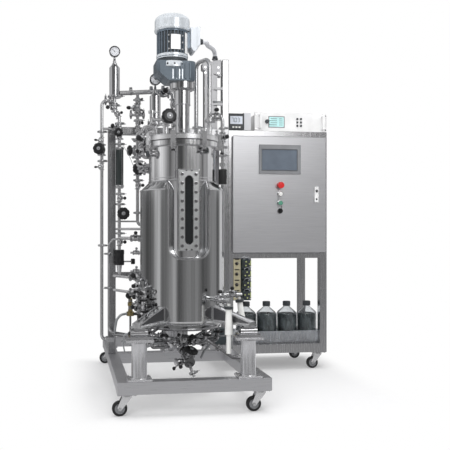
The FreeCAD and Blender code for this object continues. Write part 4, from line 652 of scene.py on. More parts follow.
def make_door_details():
    """Screen and bezel, button collars and caps, the door's edges and its latch."""
    middle, face = 724.5, 513.7
    screen = Piece(screen_glass)
    screen.box((middle - 3.5, face - 5.4, 1346.5), (229, 1.2, 129), 0)
    frame_round(screen.use(bezel_dark), (middle - 121, middle + 114), face - 6.6, (1279, 1414), 2.2, 4)
    screen.done("screen_pane", "door", slot="grey_plastic")

    collars = Piece(turned_steel)
    # low enough for each cap to be pressed home
    for z, radius, rise in ((1185, 15, 0.8), (1130, 17.5, 2.2), (1072, 17.5, 2.2), (1022, 17.5, 4)):
        collars.lathe([(12.2, 0), (radius, 0), (radius, rise * 0.65), (radius - 2, rise),
                       (12.2, rise)], (middle, face, z), -Y, 28, looped=True)
    collars.done("button_collars", "door", slot="brushed_stainless")

    seam = Piece(door_steel)
    for x in (419.4, 1031.4):
        seam.rod(2.2, (x, face + 2.0, 760.5), Z, 734, 8, 0.5)
    for z in (760.6, 1494.4):
        seam.rod(2.2, (417.6, face + 2.0, z), X, 613.8, 8, 0.5)
    seam.done("door_edges", "door", slot="brushed_stainless")

    stop = Piece(red_plastic)
    stop.lathe([(12, -6), (15, -2), (20, 2), (20.6, 6), (19.4, 10), (15, 12.4), (8, 13.6), (0, 14)],
               (middle, face - 16.5, 1185), -Y, 32)
    stop.done("stop_cap", "stop_button", slot="red_plastic")
    for name, z, finish in (("white", 1130, white_plastic), ("green", 1072, green_plastic)):
        button = Piece(finish)
        button.lathe([(13.5, 0), (13.5, 1), (12.5, 2.2), (7, 3.4), (0, 3.8)],
                     (middle, face - 17.3, z), -Y, 28)
        button.use(turned_steel).lathe([(13.6, 0), (15.6, 0), (15.6, 1.6), (14.6, 2.4), (13.6, 2)],
                                       (middle, face - 17.2, z), -Y, 28, looped=True)
        button.done(f"{name}_button_cap", f"{name}_push")

    latch = Piece(turned_steel)
    latch.lathe(disc(9, 3.2, 7.4, 2), (964, face - 16, 1150), -Y, 24)
    latch.use(black_plastic).lathe(disc(5, 1), (964, face - 19.3, 1150), -Y, 16)
    latch.box((964, face - 20.4, 1150), (1.6, 0.8, 6.5), 0)
    latch.use(dark_plastic).lathe(disc(6, 0.8), (964, face - 16, 1098), -Y, 16)
    latch.done("latch_lock", "latch")


# ---- casters

CASTERS = {"front_left": (-333, -341), "front_right": (333, -341), "back_left": (-333, 913),
           "back_right": (333, 913), "stand_front": (999, 581), "stand_back": (999, 913)}


def make_casters():
    """Tyres on moulded hubs, axle nuts, plate bolts, and the ball race under each plate."""
    for name, (x, y) in CASTERS.items():
        hub = Vector((x - 34, y, 37.5))
        wheel = Piece(rubber)
        wheel.lathe(mirrored((25, 12.6), (32.5, 12.8), (36, 10.5), (37.3, 6), (37.5, 0)), hub, Y,
                    40, looped=True)
        wheel.use(grey_plastic)
        wheel.lathe(mirrored((4.1, 12.9), (9, 12.9), (10, 9.5), (22, 8.5), (24, 11.4), (25.5, 11.8)),
                    hub, Y, 32, looped=True)
        wheel.done(f"{name}_tyre", f"{name}_wheel", [f"{name}_caster_wheel"], "wheel_rubber")
        fork = Piece(turned_steel)
        for side in (-Y, Y):
            fork.bolt(hub + side * 19, side, 6.5, 3.4)
        fork.lathe([(14, 0), (23, 0), (25, 2.5), (25, 6), (22, 8.4), (14, 8.4)], (x, y, 96.6), Z, 32,
                   looped=True)
        for corner in grid((x - 38, x + 38), (y - 29, y + 29), (106,)):
            fork.bolt(corner, -Z, 4, 3)
        fork.done(f"{name}_fork_details", f"{name}_fork", slot="polished_stainless")


# ---- sanitary clamps and valves

def tri_clamp(piece, centre, axis, radius, towards=X):
    """A two-part clamp ring over its ferrules, closed by a hinge and a wing nut."""
    centre, axis, towards = Vector(centre), Vector(axis).normalized(), Vector(towards)
    side = (towards - axis * towards.dot(axis)).normalized()
    other = axis.cross(side)
    outer = radius + 9.4
    piece.lathe(mirrored((radius + 3, 7.4), (outer, 5), (outer + 1, 3.5)), centre, axis, 24, True)
    turn = Matrix((side, other, axis)).transposed()
    for shift in (5.5, -5.5):
        piece.box(centre + side * (outer + 4) + other * shift, (12, 5, 11), 1.2, turn)
    piece.box(centre - side * (outer + 2.5), (7, 9, 10), 1.5, turn)
    bolt = centre + side * (outer + 6)
    piece.rod(2.6, bolt - other * 12, other, 30, 8)
    piece.lathe(disc(5.4, 9, 3.6, 5), bolt + other * 8, other, 12)
    wing = [(3, 0), (12, 5), (13, 11), (9, 11), (3, 6)]
    for outline in (wing, [(-x, y) for x, y in reversed(wing)]):
        piece.prism(outline, bolt + other * 9 - axis * 1.3, axis, other, 2.6, 0.5)


def small_valve(piece, centre, run, stem, size=10.0, reach=40.0, knob=9.0, tint=None):
    """A little diaphragm valve: ferrules along its run, a bonnet along its stem, and a knob."""
    piece.use(turned_steel)
    piece.lathe(mirrored((size, 2.3 * size), (1.6 * size, 2.2 * size), (1.6 * size, 1.8 * size),
                         (size, 1.6 * size), (1.2 * size, 0.8 * size), (1.35 * size, 0)),
                centre, run, 16)
    if not knob:
        return
    piece.lathe([(1.1 * size, 0), (1.1 * size, 0.36 * reach), (1.45 * size, 0.38 * reach),
                 (1.45 * size, 0.5 * reach), (0.6 * size, 0.56 * reach), (0.45 * size, 0.8 * reach)],
                centre, stem, 16)
    piece.use(tint or black_plastic)
    piece.lathe([(0.5 * knob, 0.78 * reach), (knob, 0.86 * reach), (1.08 * knob, reach),
                 (0.94 * knob, 1.14 * reach), (0.5 * knob, 1.24 * reach), (0, 1.25 * reach)],
                centre, stem, 18)


SMALL_VALVES = (
    # place, run, stem, size, reach to the knob, knob radius
    ((-346, RACK, 1612), Z, (-1, -0.25, 0), 12, 42, 11),
    ((-332, RACK, 1574), (0.49, 0, -0.87), (0.9, -0.4, 0.3), 11, 30, 8),
    ((-211, RACK, 1612), Z, (-1, -0.2, 0), 13, 54, 10),
    ((-211, RACK, 1650), Z, (0.8, -0.3, 0.5), 10, 30, 6),
    ((-211, RACK, 1585), Z, (1, -0.25, -0.1), 10, 34, 7),
    ((-211, RACK, 1525), Z, (0.9, -0.5, 0), 10, 30, 9),
    ((-318, RACK, 1505), Z, (-1, -0.3, 0), 10, 42, 12),
    ((-420, RACK, 1418), Z, (-1, -0.15, 0.1), 9, 36, 6),
    ((-420, RACK, 1268), Z, (-1, -0.15, -0.1), 9, 36, 6),
    ((-211, RACK, 1160), Z, (0.8, -0.6, 0), 10, 36, 9),
    ((-318, RACK, 1085), Z, (0.9, -0.4, 0), 10, 34, 9),
    ((-318, RACK, 830), Z, (0.9, -0.5, 0), 10, 36, 10),
    ((-242, 140, 634), (0.867, -0.497, 0), (-0.35, -0.9, 0.3), 14, 42, 14),
    ((-242, 140, 552), (0.867, -0.497, 0), (-0.2, -0.8, -0.6), 14, 42, 13),
    ((-240, 144, 852), (0.83, -0.55, 0), (0, -0.5, 0.9), 12, 36, 10),
    ((-212, 60, 1395), Z, (-0.6, -0.9, 0.1), 14, 40, 15),
    ((-212, 60, 1328), Z, (-0.9, -0.6, 0), 12, 34, 10),
    ((180, -46.4, 1510), X, (-0.1, -0.5, 0.9), 12, 40, 13),
    ((214, -46.4, 1400), Z, (0.5, -0.9, 0), 12, 36, 11),
    ((-60, RACK, 1700), X, (0.2, -1, 0.3), 16, 44, 15),
    ((0, RACK, 1640), Z, (0.7, -0.8, 0), 14, 40, 12),
    ((-230, 186, 294), (-0.786, 0.618, 0), (-0.2, -0.9, 0.4), 15, 46, 15),
    ((205, 150, 274), (0.78, 0.62, 0), (0.2, -0.9, 0.5), 15, 46, 13),
)


def make_clamps():
    """Clamps on the rack's and the lid's pipes, with three ferrules on the sloping header."""
    steel = Piece(turned_steel)
    for x, heights in ((-420, (1470, 1300, 810)), (-318, (1520, 1400, 1110, 1050, 880)),
                       (-211, (1660, 1600, 1540, 1480, 1420, 1300, 1190, 1000)), (-346, (1625,))):
        for place, z in enumerate(heights):
            tri_clamp(steel, (x, RACK, z), Z, 9.5, (1, -0.2 - 0.3 * (place % 3), 0))
    slope, header = Vector((1, 0, 0.08)), Vector((-316, RACK, 1705))
    for x in (-250, -130, -60):
        steel.lathe(mirrored((20, 8), (23.6, 6.6)), header + slope * (x - header.x), slope, 28, True)
    # place, run, radius, side of the wing nut
    for clamp in (((-36, RACK, 1717), slope, 13.5, (0, -1, 0.3)),
                  ((154.4, 13.5, 1499), Z, 12, (0.6, -1, 0)), ((100.4, 111.5, 1474), Z, 12, (0.6, -1, 0)),
                  ((142.7, -46.4, 1484), Z, 12, (0.6, -1, 0)), ((214, -46.4, 1300), Z, 9, (0.3, -1, 0)),
                  ((214, -46.4, 1345), Z, 9, (0.3, -1, 0)), ((-200, 162, 292), (0.8, -0.6, 0), 13, Z),
                  ((200, 147, 274), (0.8, 0.6, 0), 13, Z), ((-346, RACK, 1676), Z, 29.5, (1, -0.7, 0)),
                  ((-135, 95.9, 1486.3), Z, 29.5, (1, -0.7, 0))):
        tri_clamp(steel, *clamp)
    steel.done("clamp_rings", slot="polished_stainless")


def make_valves():
    """The small valves on the pipes, with the bodies behind the big handwheels."""
    valves = Piece(turned_steel)
    for valve in SMALL_VALVES:
        small_valve(valves, *valve)
    for name in ("exhaust", "feed", "air", "steam"):
        small_valve(valves, VALVES[name][0], Z, -Y, 15, knob=0)
    valves.done("small_valves", slot="polished_stainless")


# ---- bottles, tray and pumps

def make_bottles():
    """Glass bottles with rounded shoulders, dark medium inside and knurled caps."""
    glass, medium, caps = Piece(bottle_glass), Piece(liquid), Piece(dark_plastic)
    first, apart = Vector((543, 658, 172)), 138
    cap_foot, cap_top = 229.2, 256
    for place in range(4):
        foot = first + X * apart * place
        glass.lathe([(0, 6), (40, 4), (56, 0.4), (62, 1.6), (65.4, 6), (65.8, 14), (65.8, 172),
                     (64.5, 181), (59, 190), (40, 207), (26, 218), (20, 226), (19.6, 250), (16.5, 250),
                     (16.8, 226), (23, 215), (37, 204.5), (56, 187.5), (61.8, 179), (62.8, 171),
                     (62.8, 14), (60, 6), (38, 8), (0, 10)], foot, Z, 48)
        medium.lathe([(0, 10.4), (37, 8.4), (59.4, 6.6), (62.2, 14), (62.2, 171),
                      (58.6, 180), (54.6, 186 - 2 * place), (0, 186 - 2 * place)], foot, Z, 40)
        ridges = [spoke(7.5 * step, 24.9 if step % 2 else 23.6) for step in range(48)]
        caps.loft([[foot + Z * rise + ridge * wide for ridge in ridges]
                   for rise, wide in ((cap_foot, 1), (cap_top, 1), (cap_top + 2.6, 0.93))])
        caps.lathe([(20.5, 0), (24.2, 0), (24.2, 3), (20.5, 3)], foot + Z * cap_foot, Z, 40, looped=True)
    glass.done("bottle_glass", "machine", ["bottles"], "bottle_glass")
    medium.done("bottle_medium", slot="bottle_glass")
    caps.done("bottle_caps_knurled", "machine", ["bottle_caps"], "black_plastic")


def make_tray_details():
    """Rolled lip and ribs of the clear tray."""
    lip = Piece(clear_plastic)
    left, right, front, back = 469, 1031, 584, 732
    lip.sweep([(left + 3, front + 3, 241), (right - 3, front + 3, 241), (right - 3, back - 3, 241),
               (left + 3, back - 3, 241)], 3, 12, 8, looped=True)
    for x in range(500, 1020, 62):
        lip.box((x, front - 0.6, 205), (5, 1.6, 58), 0.5)
    lip.done("tray_lip", slot="clear_plastic")


def make_pumps():
    """Four peristaltic heads with their tubes, beside a cream panel of knobs and lamps."""
    left, middle, front, apart = 425.0, 586.0, 538.0, 67
    unit, lines = Piece(slate_plastic), Piece(clear_plastic)
    unit.box((left + 58, front + 75, middle), (116, 150, 268), 3)
    unit.use(cream_plastic).box((left + 25, front - 2, middle), (46, 5, 260), 1.5)
    for place in range(4):
        # the places below are measured from the head's own corner
        corner = Vector((left, front, middle - 100 + apart * place))
        for finish, centre, size, edge in (
                (black_plastic, (24, -5, 28), (30, 2.4, 7), 1),
                (white_plastic, (22, -18.4, 4), (1.6, 1, 6), 0),
                (white_plastic, (40, -5, 6), (5, 2.4, 5), 1),
                (slate_plastic, (82, -14, 0), (54, 34, 52), 4),
                (roller_tint, (106, -31.5, 4), (5, 3, 30), 1),
                (white_plastic, (104, -31.5, -20), (8, 3, 6), 1)):
            unit.use(finish).box(corner + Vector(centre), size, edge)
        unit.use(black_plastic).lathe([(10.5, 0), (10.5, 5), (8.5, 6), (8, 14), (0, 14.6)],
                                      corner + X * 22 - Y * 4, -Y, 20)
        unit.use(dark_plastic).lathe([(20, 0), (22.5, 2), (22.5, 8), (20, 10), (9, 10), (8, 7), (0, 7)],
                                     corner + X * 80 - Y * 30, -Y, 28)
        unit.use(roller_tint)
        for turn in (40, 160, 280):
            out = spoke(turn + 25 * place, 14.5)
            unit.rod(4.4, corner + Vector((80 + out.x, -40, out.y)), -Y, 2.4, 12)
        lines.sweep([corner + Vector(point) for point in ((66, -32, 27), (64, -34, 36), (86, -36, 43),
                                                          (98, -34, 36), (96, -32, 27))], 2.6, 8, 8)
    unit.done("pump_heads", "machine", ["pump_unit"], "grey_plastic")
    lines.done("pump_tubes", slot="clear_plastic")


# ---- pipe fittings

def make_pipe_fittings():
    """Tees, side runs and stub nozzles between the rack and the vessel."""
    pipes = Piece(pipe_steel)
    # radius, bend, points
    for radius, bend, points in (
            (8, 0, ((-250, RACK, 1572), (-176, RACK, 1572))),
            (9, None, ((-211, RACK, 1232), (-211, 176, 1232), (-158, 84, 1232))),
            (9, None, ((-140, 40, 1396), (-140, 40, 1464), (-212, 60, 1464), (-212, 60, 1296),
                       (-168, 50, 1296))),
            (7, None, ((-176, 64, 1398), (-176, 64, 1440), (-236, 96, 1440), (-236, 96, 1250),
                       (-166, 66, 1250))),
            (7, None, ((-318, RACK, 846), (-352, 314, 846), (-377, 334, 812), (-377, 334, 318),
                       (-352, RACK, 301))),
            (5, None, ((-335, 349, 950), (-335, 322, 950), (-211, 322, 950), (-211, 304, 950)))):
        pipes.sweep(points, radius, bend)
    pipes.sweep([(-300, 290, 1398), (-262, 276, 1330), (-236, 280, 1268)], 1.6, 6, 6)
    for z in (772, 668):
        pipes.use(pipe_steel).sweep([(-194, 112, z), (-266, 152, z)], 5.5, 0)
        small_valve(pipes, (-236, 135, z), (-0.866, 0.5, 0), (0, -0.4, 1), 8, 26, 7, grey_plastic)
    pipes.use(turned_steel)
    # place, run, radius, side of the wing nut
    for clamp in (((-250, RACK, 1572), X, 8, Z), ((-176, RACK, 1572), X, 8, Z),
                  ((-211, 236, 1232), Y, 9, Z), ((-190, 140, 1232), (-0.5, 0.86, 0), 9, Z),
                  ((-398, RACK, 1650), X, 9.5, Z), ((-372, RACK, 1650), X, 9.5, -Z),
                  ((-176, 50, 1464), (1, -0.28, 0), 9, Z), ((-236, 96, 1400), Z, 7, -X),
                  ((-236, 96, 1300), Z, 7, -X), ((-377, 334, 560), Z, 7, -X),
                  ((-377, 334, 760), Z, 7, -X), ((214, -46.4, 1448), Z, 9, (0.6, -0.8, 0)),
                  ((-318, RACK, 905), Z, 9.5, (1, -0.5, 0))):
        tri_clamp(pipes, *clamp)
    for degrees, height, radius, length, end in (
            (205, 1300, 15, 34, dark_plastic), (298, 1312, 15, 16, dark_glass),
            (168, 1250, 11, 20, dark_plastic), (152, 1232, 13, 14, dark_plastic)):
        foot, along = spoke(degrees, 176, height), spoke(degrees)
        wide = radius + 8
        pipes.use(turned_steel).lathe([(radius, 0), (radius, length), (wide, length + 1),
                                       (wide, length + 9), (radius, length + 11)], foot, along, 28)
        pipes.use(end).lathe([(radius, length + 8), (radius, length + 13), (radius * 0.7, length + 15),
                              (0, length + 15.5)], foot, along, 28)
    pipes.done("side_runs", slot="polished_stainless")


def make_dark_casings():
    """The dark flow tube between its collars and tie rods, the trap, sleeves and caps."""
    dark = Piece(dark_glass)
    dark.lathe([(22.2, 1158), (22.6, 1160), (22.6, 1366), (22.2, 1368)], (-318, RACK, 0), Z, 28)
    dark.use(turned_steel)
    for turn in (-60, -150, 30):
        dark.rod(2.6, Vector((-318, RACK, 1150)) + spoke(turn, 26), Z, 226, 8)
    collar = [(22.3, 0), (26, 1), (27, 4), (27, 10), (26, 14), (22.3, 15)]
    sleeve = [(22.3, 0), (23, 1), (23, 15), (21, 16.6)]
    tilt = Vector((0.14, 0, -1)).normalized()
    for finish, start, along, profile in (
            (turned_steel, (-318, RACK, 1146), Z, collar), (turned_steel, (-318, RACK, 1366), Z, collar),
            (black_plastic, (-318, RACK, 696), Z,
             [(27.2, 0), (29, 3), (29, 22), (27.6, 26), (27.6, 60), (29, 64), (29, 82), (27.2, 88)]),
            (rubber, (214, -46.4, 1146), Z, [(21.3, 0), (22, 2), (22, 78), (21.3, 80)]),
            (black_plastic, (-64, -119, 174.5), Z,
             [(6, -9.3), (8.6, -4), (9.4, 0), (8.6, 4), (6, 7.6), (0, 9.4)]),
            (dark_plastic, (181.1, -310, 503.4), Z, sleeve + [(8, 16.6)]),
            (dark_plastic, Vector((318, 0, 530.4)) + tilt * 11.6, tilt, sleeve)):
        dark.use(finish).lathe(profile, start, along, 28)
    dark.use(black_plastic)
    dark.lathe([(15.2, 0), (16.6, 2), (16.6, 19), (15.2, 21), (0, 22.5)], (-249, RACK, 716), X, 20)
    dark.done("dark_casings", slot="black_plastic")


def make_relief_valve():
    """The brass relief valve with its knob, and the two hoses from it."""
    relief = Piece(brass)
    relief.lathe([(12.3, 431), (15, 433), (15, 446), (12.6, 448), (12.6, 466), (17, 468), (17, 486),
                  (13, 489), (12.4, 506), (7, 512), (0, 512)], (-262, 211, 0), Z, 6)
    relief.lathe([(20, 410), (22.6, 412), (22.6, 432), (20, 434), (0, 434)], (-262, 211, 0), Z, 28)
    relief.use(black_plastic)
    relief.lathe([(14, -9), (17.6, -7.4), (18, 0), (17.4, 7.4), (12, 10), (0, 11)], (-272, 199, 526),
                 (-0.4, -0.8, 0.4), 20)
    relief.use(hose_grey)
    relief.sweep([(-280, 205, 424), (-318, 188, 420), (-342, 190, 392), (-348, 222, 340),
                  (-348, 262, 306)], 7, 26)
    relief.sweep([(-244, 214, 420), (-206, 232, 424), (-176, 238, 380), (-170, 170, 312)], 7, 26)
    relief.done("relief_valve_details", slot="brushed_stainless")


def make_second_drain_wheel():
    """A lobed black handwheel on its stem, under the vessel."""
    wheel = Piece(turned_steel)
    side, other, along = around((0.45, -0.8, 0.35))
    centre = Vector((48, -62, 312))
    wheel.lathe([(9, 0), (9, 40), (15, 41), (15, 48), (6, 50), (6, 84)], centre - along * 84, along, 16)
    wheel.use(black_plastic)
    rim = [(29 + 2.4 * cos(turn * 8), turn) for turn in (tau * step / 64 for step in range(64))]
    wheel.loft([[centre + along * low + (side * cos(turn) + other * sin(turn)) * reach * wide
                 for reach, turn in rim] for low, wide in ((-9, 0.8), (-6, 1), (6, 1), (10, 0.74))])
    wheel.use(grey_plastic).lathe([(9, 9), (9, 11), (0, 12)], centre, along, 20)
    wheel.done("second_drain_wheel", slot="black_plastic")


# tubes in the darker tube steel carry painted shade under the vessel
UNDER_TUBES = (
    # finish, radius, bend, sides, points
    (painted_shade_tube_steel, 9, 22, 12, ((-198, -44, 640), (-244, -60, 640), (-244, -60, 400), (-190, -44, 388))),
    (painted_shade_tube_steel, 8, 22, 12, ((-186, -118, 604), (-224, -132, 604), (-224, -132, 428),
                             (-176, -100, 400))),
    (painted_shade_tube_steel, 10, 26, 12, ((-198, -20, 388), (-262, -60, 388), (-262, -60, 330), (-210, 60, 300))),
    (painted_shade_tube_steel, 8, 26, 12, ((-150, -128, 388), (-196, -200, 372), (-196, -200, 300),
                             (-90, -110, 286))),
    (hose_grey, 7, 34, 12, ((-98, -52, 292), (-128, -66, 300), (-170, -60, 292), (-206, 10, 262),
                            (-240, 120, 250), (-300, RACK, 250))),
    (hose_grey, 4, 30, 8, ((-272, -262, 399), (-250, -180, 360), (-190, -120, 336),
                           (-110, -100, 330), (-40, -60, 318))),
    (hose_grey, 4, 30, 8, ((262, -262, 399), (238, -170, 352), (180, -80, 330), (120, -30, 306),
                           (60, -6, 292))),
    (hose_grey, 6, 30, 12, ((52, 36, 290), (96, 18, 330), (138, -10, 360), (170, -30, 392))),
    (hose_grey, 6, 40, 12, ((200, 118, 280), (150, 20, 262), (110, -40, 240), (92, -60, 212))),
)

UNDER_VALVES = (
    # place, run, stem, size, reach to the knob, knob radius
    ((-262, -60, 356), Z, (-0.8, -0.6, 0), 12, 38, 11),
    ((-196, -200, 336), Z, (-0.4, -0.9, 0), 11, 34, 10),
    ((151.35, -259.02, 545), (0.5045, -0.8634, 0), (0, 0.2, 1), 13, 40, 12),
    ((276, 0, 545), X, (0, -0.4, 1), 13, 38, 11),
    ((-60, -60, 292), (0.7, 0.7, 0), (-0.3, -0.8, 0.4), 12, 36, 10),
    ((-128, 20, 292), (0.3, 1, 0), (-0.7, -0.5, 0.5), 12, 36, 10),
    ((120, 84, 284), (0.8, 0.6, 0), (0.2, -0.8, -0.5), 12, 36, 10),
    ((-30, -100, 206), (0.9, 0.4, 0), (0, -0.7, -0.6), 12, 36, 10),
)

MANIFOLD_VALVES = (
    # place on the two upright tubes, stem, size
    ((-244, -60, 604), (-0.8, -0.6, 0), 13), ((-244, -60, 548), (0.3, -0.9, 0), 14),
    ((-244, -60, 486), (-0.9, -0.4, 0.2), 13), ((-224, -132, 566), (-0.5, -0.8, 0.2), 12),
    ((-224, -132, 508), (0.6, -0.8, 0), 12), ((-224, -132, 456), (-0.7, -0.7, 0), 11),
)


def make_bottom_details():
    """Under the vessel: a ring main with its drops, actuator box, hoses, valves and clamps."""
    under = Piece(slate_plastic)
    under.box((245, 176, 290), (78, 62, 94), 5)
    under.box((245, 144, 290), (60, 4, 70), 2)
    under.use(turned_steel)
    for spot in grid((212, 278), (145,), (250, 330)):
        under.bolt(spot, -Y, 3.2, 3)
    main, level = 198, 388
    # the ring main and its drops in the darker tube steel, as painted shade under the vessel
    under.use(painted_shade_tube_steel).ring(main, 9, Z * level, steps=72, sides=12)
    for degrees, low in ((-158, 300), (-128, 318), (-96, 330), (-62, 312), (-24, 300), (24, 318),
                         (150, 320), (196, 296)):
        along = spoke(degrees)
        under.use(painted_shade_tube_steel)
        under.sweep([along * main + Z * level, along * main + Z * (low + 14), along * 150 + Z * low,
                     along * 46 + Z * (low - 12)], 7, 20)
        small_valve(under, along * 120 + Z * (low - 3), along * 104 + Z * 12, (along.y, -along.x, 0.8),
                    10, 34, 9)
        tri_clamp(under, along * main + Z * (level - 32), Z, 7, along)
    for finish, radius, bend, sides, points in UNDER_TUBES:
        under.use(finish).sweep(points, radius, bend, sides)
    for valve in UNDER_VALVES:
        small_valve(under, *valve)
    for place, stem, size in MANIFOLD_VALVES:
        small_valve(under, place, Z, stem, size, 38, 11)
        tri_clamp(under, Vector(place) - Z * 30, Z, 9, stem)
    for shift in (Y * 0, Y * -34):
        under.use(painted_shade_tube_steel)
        under.sweep([shift + Vector(point) for point in ((84, -30, 318), (104, -80, 326), (244, -118, 228),
                                                         (346, -118, 228), (346, -118, 172))], 8, 20)
        under.lathe([(0, 0), (17, 0), (17, 4), (12, 6), (8, 6)], shift + Vector((346, -118, 171.2)), Z, 24)
        tri_clamp(under, shift + Vector((174, -99, 277)), (140, -38, -98), 8, (0, -1, 0.3))
    under.use(turned_steel)
    for z, radius in ((309, 44), (297, 38)):
        under.lathe(mirrored((radius - 4, 5), (radius, 4)), Z * z, Z, 32)
    tri_clamp(under, (4, -22, 256), (0.2, -0.9, -0.45), 22, (0.9, 0.2, 0))
    tri_clamp(under, (33, -131, 150), (0.35, -0.5, -0.8), 9, (1, 0.7, 0))
    under.done("under_vessel_details", slot="polished_stainless")


# ---- vessel

def on_wall(x, z, radius=228.0, out=0.0):
    """A point on the front of an upright round wall."""
    return Vector((x, -sqrt(radius ** 2 - x ** 2) - out, z))


def make_vessel_details():
    """Rolled rim round the jacket's window, shoulder seams, and the flange's beads and studs."""
    half_window, corner, sill, shoulder = 105, 65, 750, 1108
    rim = Piece(weld_steel)
    arc = [(corner * (1 - cos(turn)) - half_window, sill + corner * (1 - sin(turn)))
           for turn in (radians(step * 10) for step in range(10))]
    edge = [(-half_window, z) for z in range(shoulder, sill + corner, -42)] + arc
    edge += [(x, sill) for x in (-20, 0, 20)] + [(-x, z) for x, z in reversed(arc)]
    edge += [(half_window, z) for z in range(824, shoulder + 1, 42)]
    rim.sweep([on_wall(x, z, out=-1.5) for x, z in edge], 5, 0, 10)
    for x in (-half_window, half_window):
        rim.sweep([on_wall(x, shoulder + 48 * up, 228 - 46 * up, -1)
                   for up in (0, 0.2, 0.4, 0.6, 0.8, 1)], 5.5, 0, 10)
    rim.sweep([spoke(angle, 227, shoulder) for angle in range(-62, 243, 5)], 3.6, 0, 10)
    rim.ring(182, 3, Z * 1157, steps=72)
    rim.ring(181, 2.4, Z * 1336, steps=72)
    rim.done("jacket_rims", slot="polished_stainless")

    flange = Piece(turned_steel)
    for z in (1339.5, 1364.5, 1369.5, 1394.5):
        flange.lathe(mirrored((199.5, 1.6), (201.4, 0.8)), Z * z, Z, 96, looped=True)
    flange.use(rubber).lathe(mirrored((199, 1), (200.8, 1)), Z * 1367, Z, 96, looped=True)
    flange.use(turned_steel)
    for place in range(8):
        flange.bolt(spoke(22.5 + 45 * place, 190, 1425), Z, 7, 7)
        flange.lathe(disc(9, 5, 7, 4), spoke(22.5 + 45 * place, 190, 1409), Z, 16)
    flange.done("flange_details", slot="polished_stainless")


PILLARS = ((-272, -340), (272, -340), (0, 380))


def make_support_details():
    """Plate bolts, weld fillets, cell collars and leads on the load pillars."""
    steel = Piece(weld_steel)
    for x, y in PILLARS:
        for z in (182, 357):
            steel.ring(39, 3, (x, y, z), steps=36, sides=6)
        steel.use(turned_steel)
        for spot in grid((x - 50, x + 50), (y - 36, y + 36), (181, 370)):
            steel.bolt(spot, Z, 5.5, 5)
        for shift in (-30, 30):
            steel.lathe(mirrored((20, 4), (23.5, 3)), (x + shift, y, 399), X, 28, looped=True)
        steel.use(hose_grey)
        steel.sweep([(x - 54, y, 399), (x - 66, y, 396), (x - 74, y + 10, 380), (x - 76, y + 30, 340),
                     (x - 66, y + 52, 300)], 3.6, 12, 8)
        steel.use(weld_steel)
    steel.done("support_details", slot="frame_stainless")


def make_bracket_details():
    """Painted shade as dark sheets in the recesses of the vessel's brackets, with bright folded edges and
    weld beads on them.
    """
    panels = Piece(shadow_steel)
    for x, y in PILLARS:
        out, far = Vector((x, y, 0)).normalized(), hypot(x, y)
        corners = [(236, 438), (far + 17, 438), (far + 17, 442), (242, 498), (236, 498)]
        for way in (-1, 1):
            lateral = Z.cross(out) * way
            # a dark sheet on the bracket's side: painted shade for its open gusset
            panels.use(shadow_steel)
            panels.prism([(-reach * way, z) for reach, z in corners], lateral * 22.9, lateral, Z, 0.6)
            # finish, distance from the bracket's middle, and the line's two ends
            for finish, shift, ends in ((turned_steel, 22.4, ((236, 505), (far + 25, 444))),
                                        (weld_steel, 23, ((233, 430), (233, 506))),
                                        (weld_steel, 24, ((234, 433), (far + 22, 433)))):
                panels.use(finish)
                panels.sweep([out * reach + lateral * shift + Z * z for reach, z in ends], 2.6, 0, 8)
    panels.done("bracket_details", slot="frame_stainless")


def make_glass_details():
    """Bolt heads round the sight glass, its gasket line, and the neck's studs and front bars."""
    face, middle, pane_round, pane_reach = -205.0, 1001, 21.5, 156
    heads = Piece(dark_bolt)
    for spot in grid((-36, 36), (face - 5.1,), [middle + 46 * place for place in range(-4, 5)]):
        heads.use(dark_bolt)
        heads.lathe([(5, 0), (5, 2.4), (4.3, 3.4), (2.3, 3.4), (2.2, 1.6), (0, 1.6)], spot, -Y, 12)
        heads.use(turned_steel)
        heads.lathe([(5.4, 0), (8.6, 0), (8.6, 0.9), (5.4, 1.2)], spot, -Y, 20, looped=True)
    heads.use(dark_bolt)
    for spot in grid((-14, 14), (face,), (798, 1204)):
        heads.lathe(disc(4.6, 3.4, 3.8, 2.4), spot, -Y, 12)
    heads.use(turned_steel)
    slot = [(pane_round * cos(turn), middle + pane_reach * way + pane_round * sin(turn))
            for way, turns in ((1, range(0, 181, 15)), (-1, range(180, 361, 15)))
            for turn in (radians(angle) for angle in turns)]
    heads.sweep([(x, face - 0.4, z) for x, z in slot], 1.8, 0, 8, looped=True)
    heads.sweep([(x, face - 0.2, z) for x, z in ((53, 795), (53, 1207), (-53, 1207), (-53, 795))],
                2.4, 7, 8, looped=True)
    heads.done("sight_glass_bolts", slot="brushed_stainless")

    neck = 180
    front = Piece(turned_steel)
    for x in (-58, -67):
        front.sweep([on_wall(x, z, neck, 3) for z in (1336, 1166)], 3.2, 0, 10)
    front.use(weld_steel).ring(neck + 0.6, 1.8, Z * 1172, steps=96)
    for place in range(8):
        stud = spoke(22.5 + 45 * place, 218)
        front.use(turned_steel).rod(7, stud + Z * 1312, Z, 34, 12)
        front.use(dark_bolt).lathe(disc(11, 10, 9, 8), stud + Z * 1303, Z, 6)
    front.done("neck_details", slot="polished_stainless")


# ---- hoist column and rear

def make_hoist_details():
    """Black discs as painted shade in the bores, with bright rims, and a clip and four bolts on the
    lifting column.
    """
    hoist = Piece(black_plastic)
    for z in (1628, 1722, 1816):
        # a black disc in the bore: painted shade for the hole
        hoist.use(black_plastic).lathe(disc(9.9, 1), (227.5, 350.6, z), -Y, 24)
        hoist.use(turned_steel)
        hoist.lathe([(10, -0.2), (12.4, -0.2), (12.4, 1), (10, 1.4)], (227.5, 350, z), -Y, 24,
                    looped=True)
    hoist.use(grey_plastic).box((282, 346, 1672), (62, 5, 9))
    hoist.use(turned_steel)
    for spot in grid((204, 284), (349.6,), (1880, 1846)):
        hoist.bolt(spot, -Y, 5, 4)
    hoist.done("hoist_details", slot="frame_stainless")


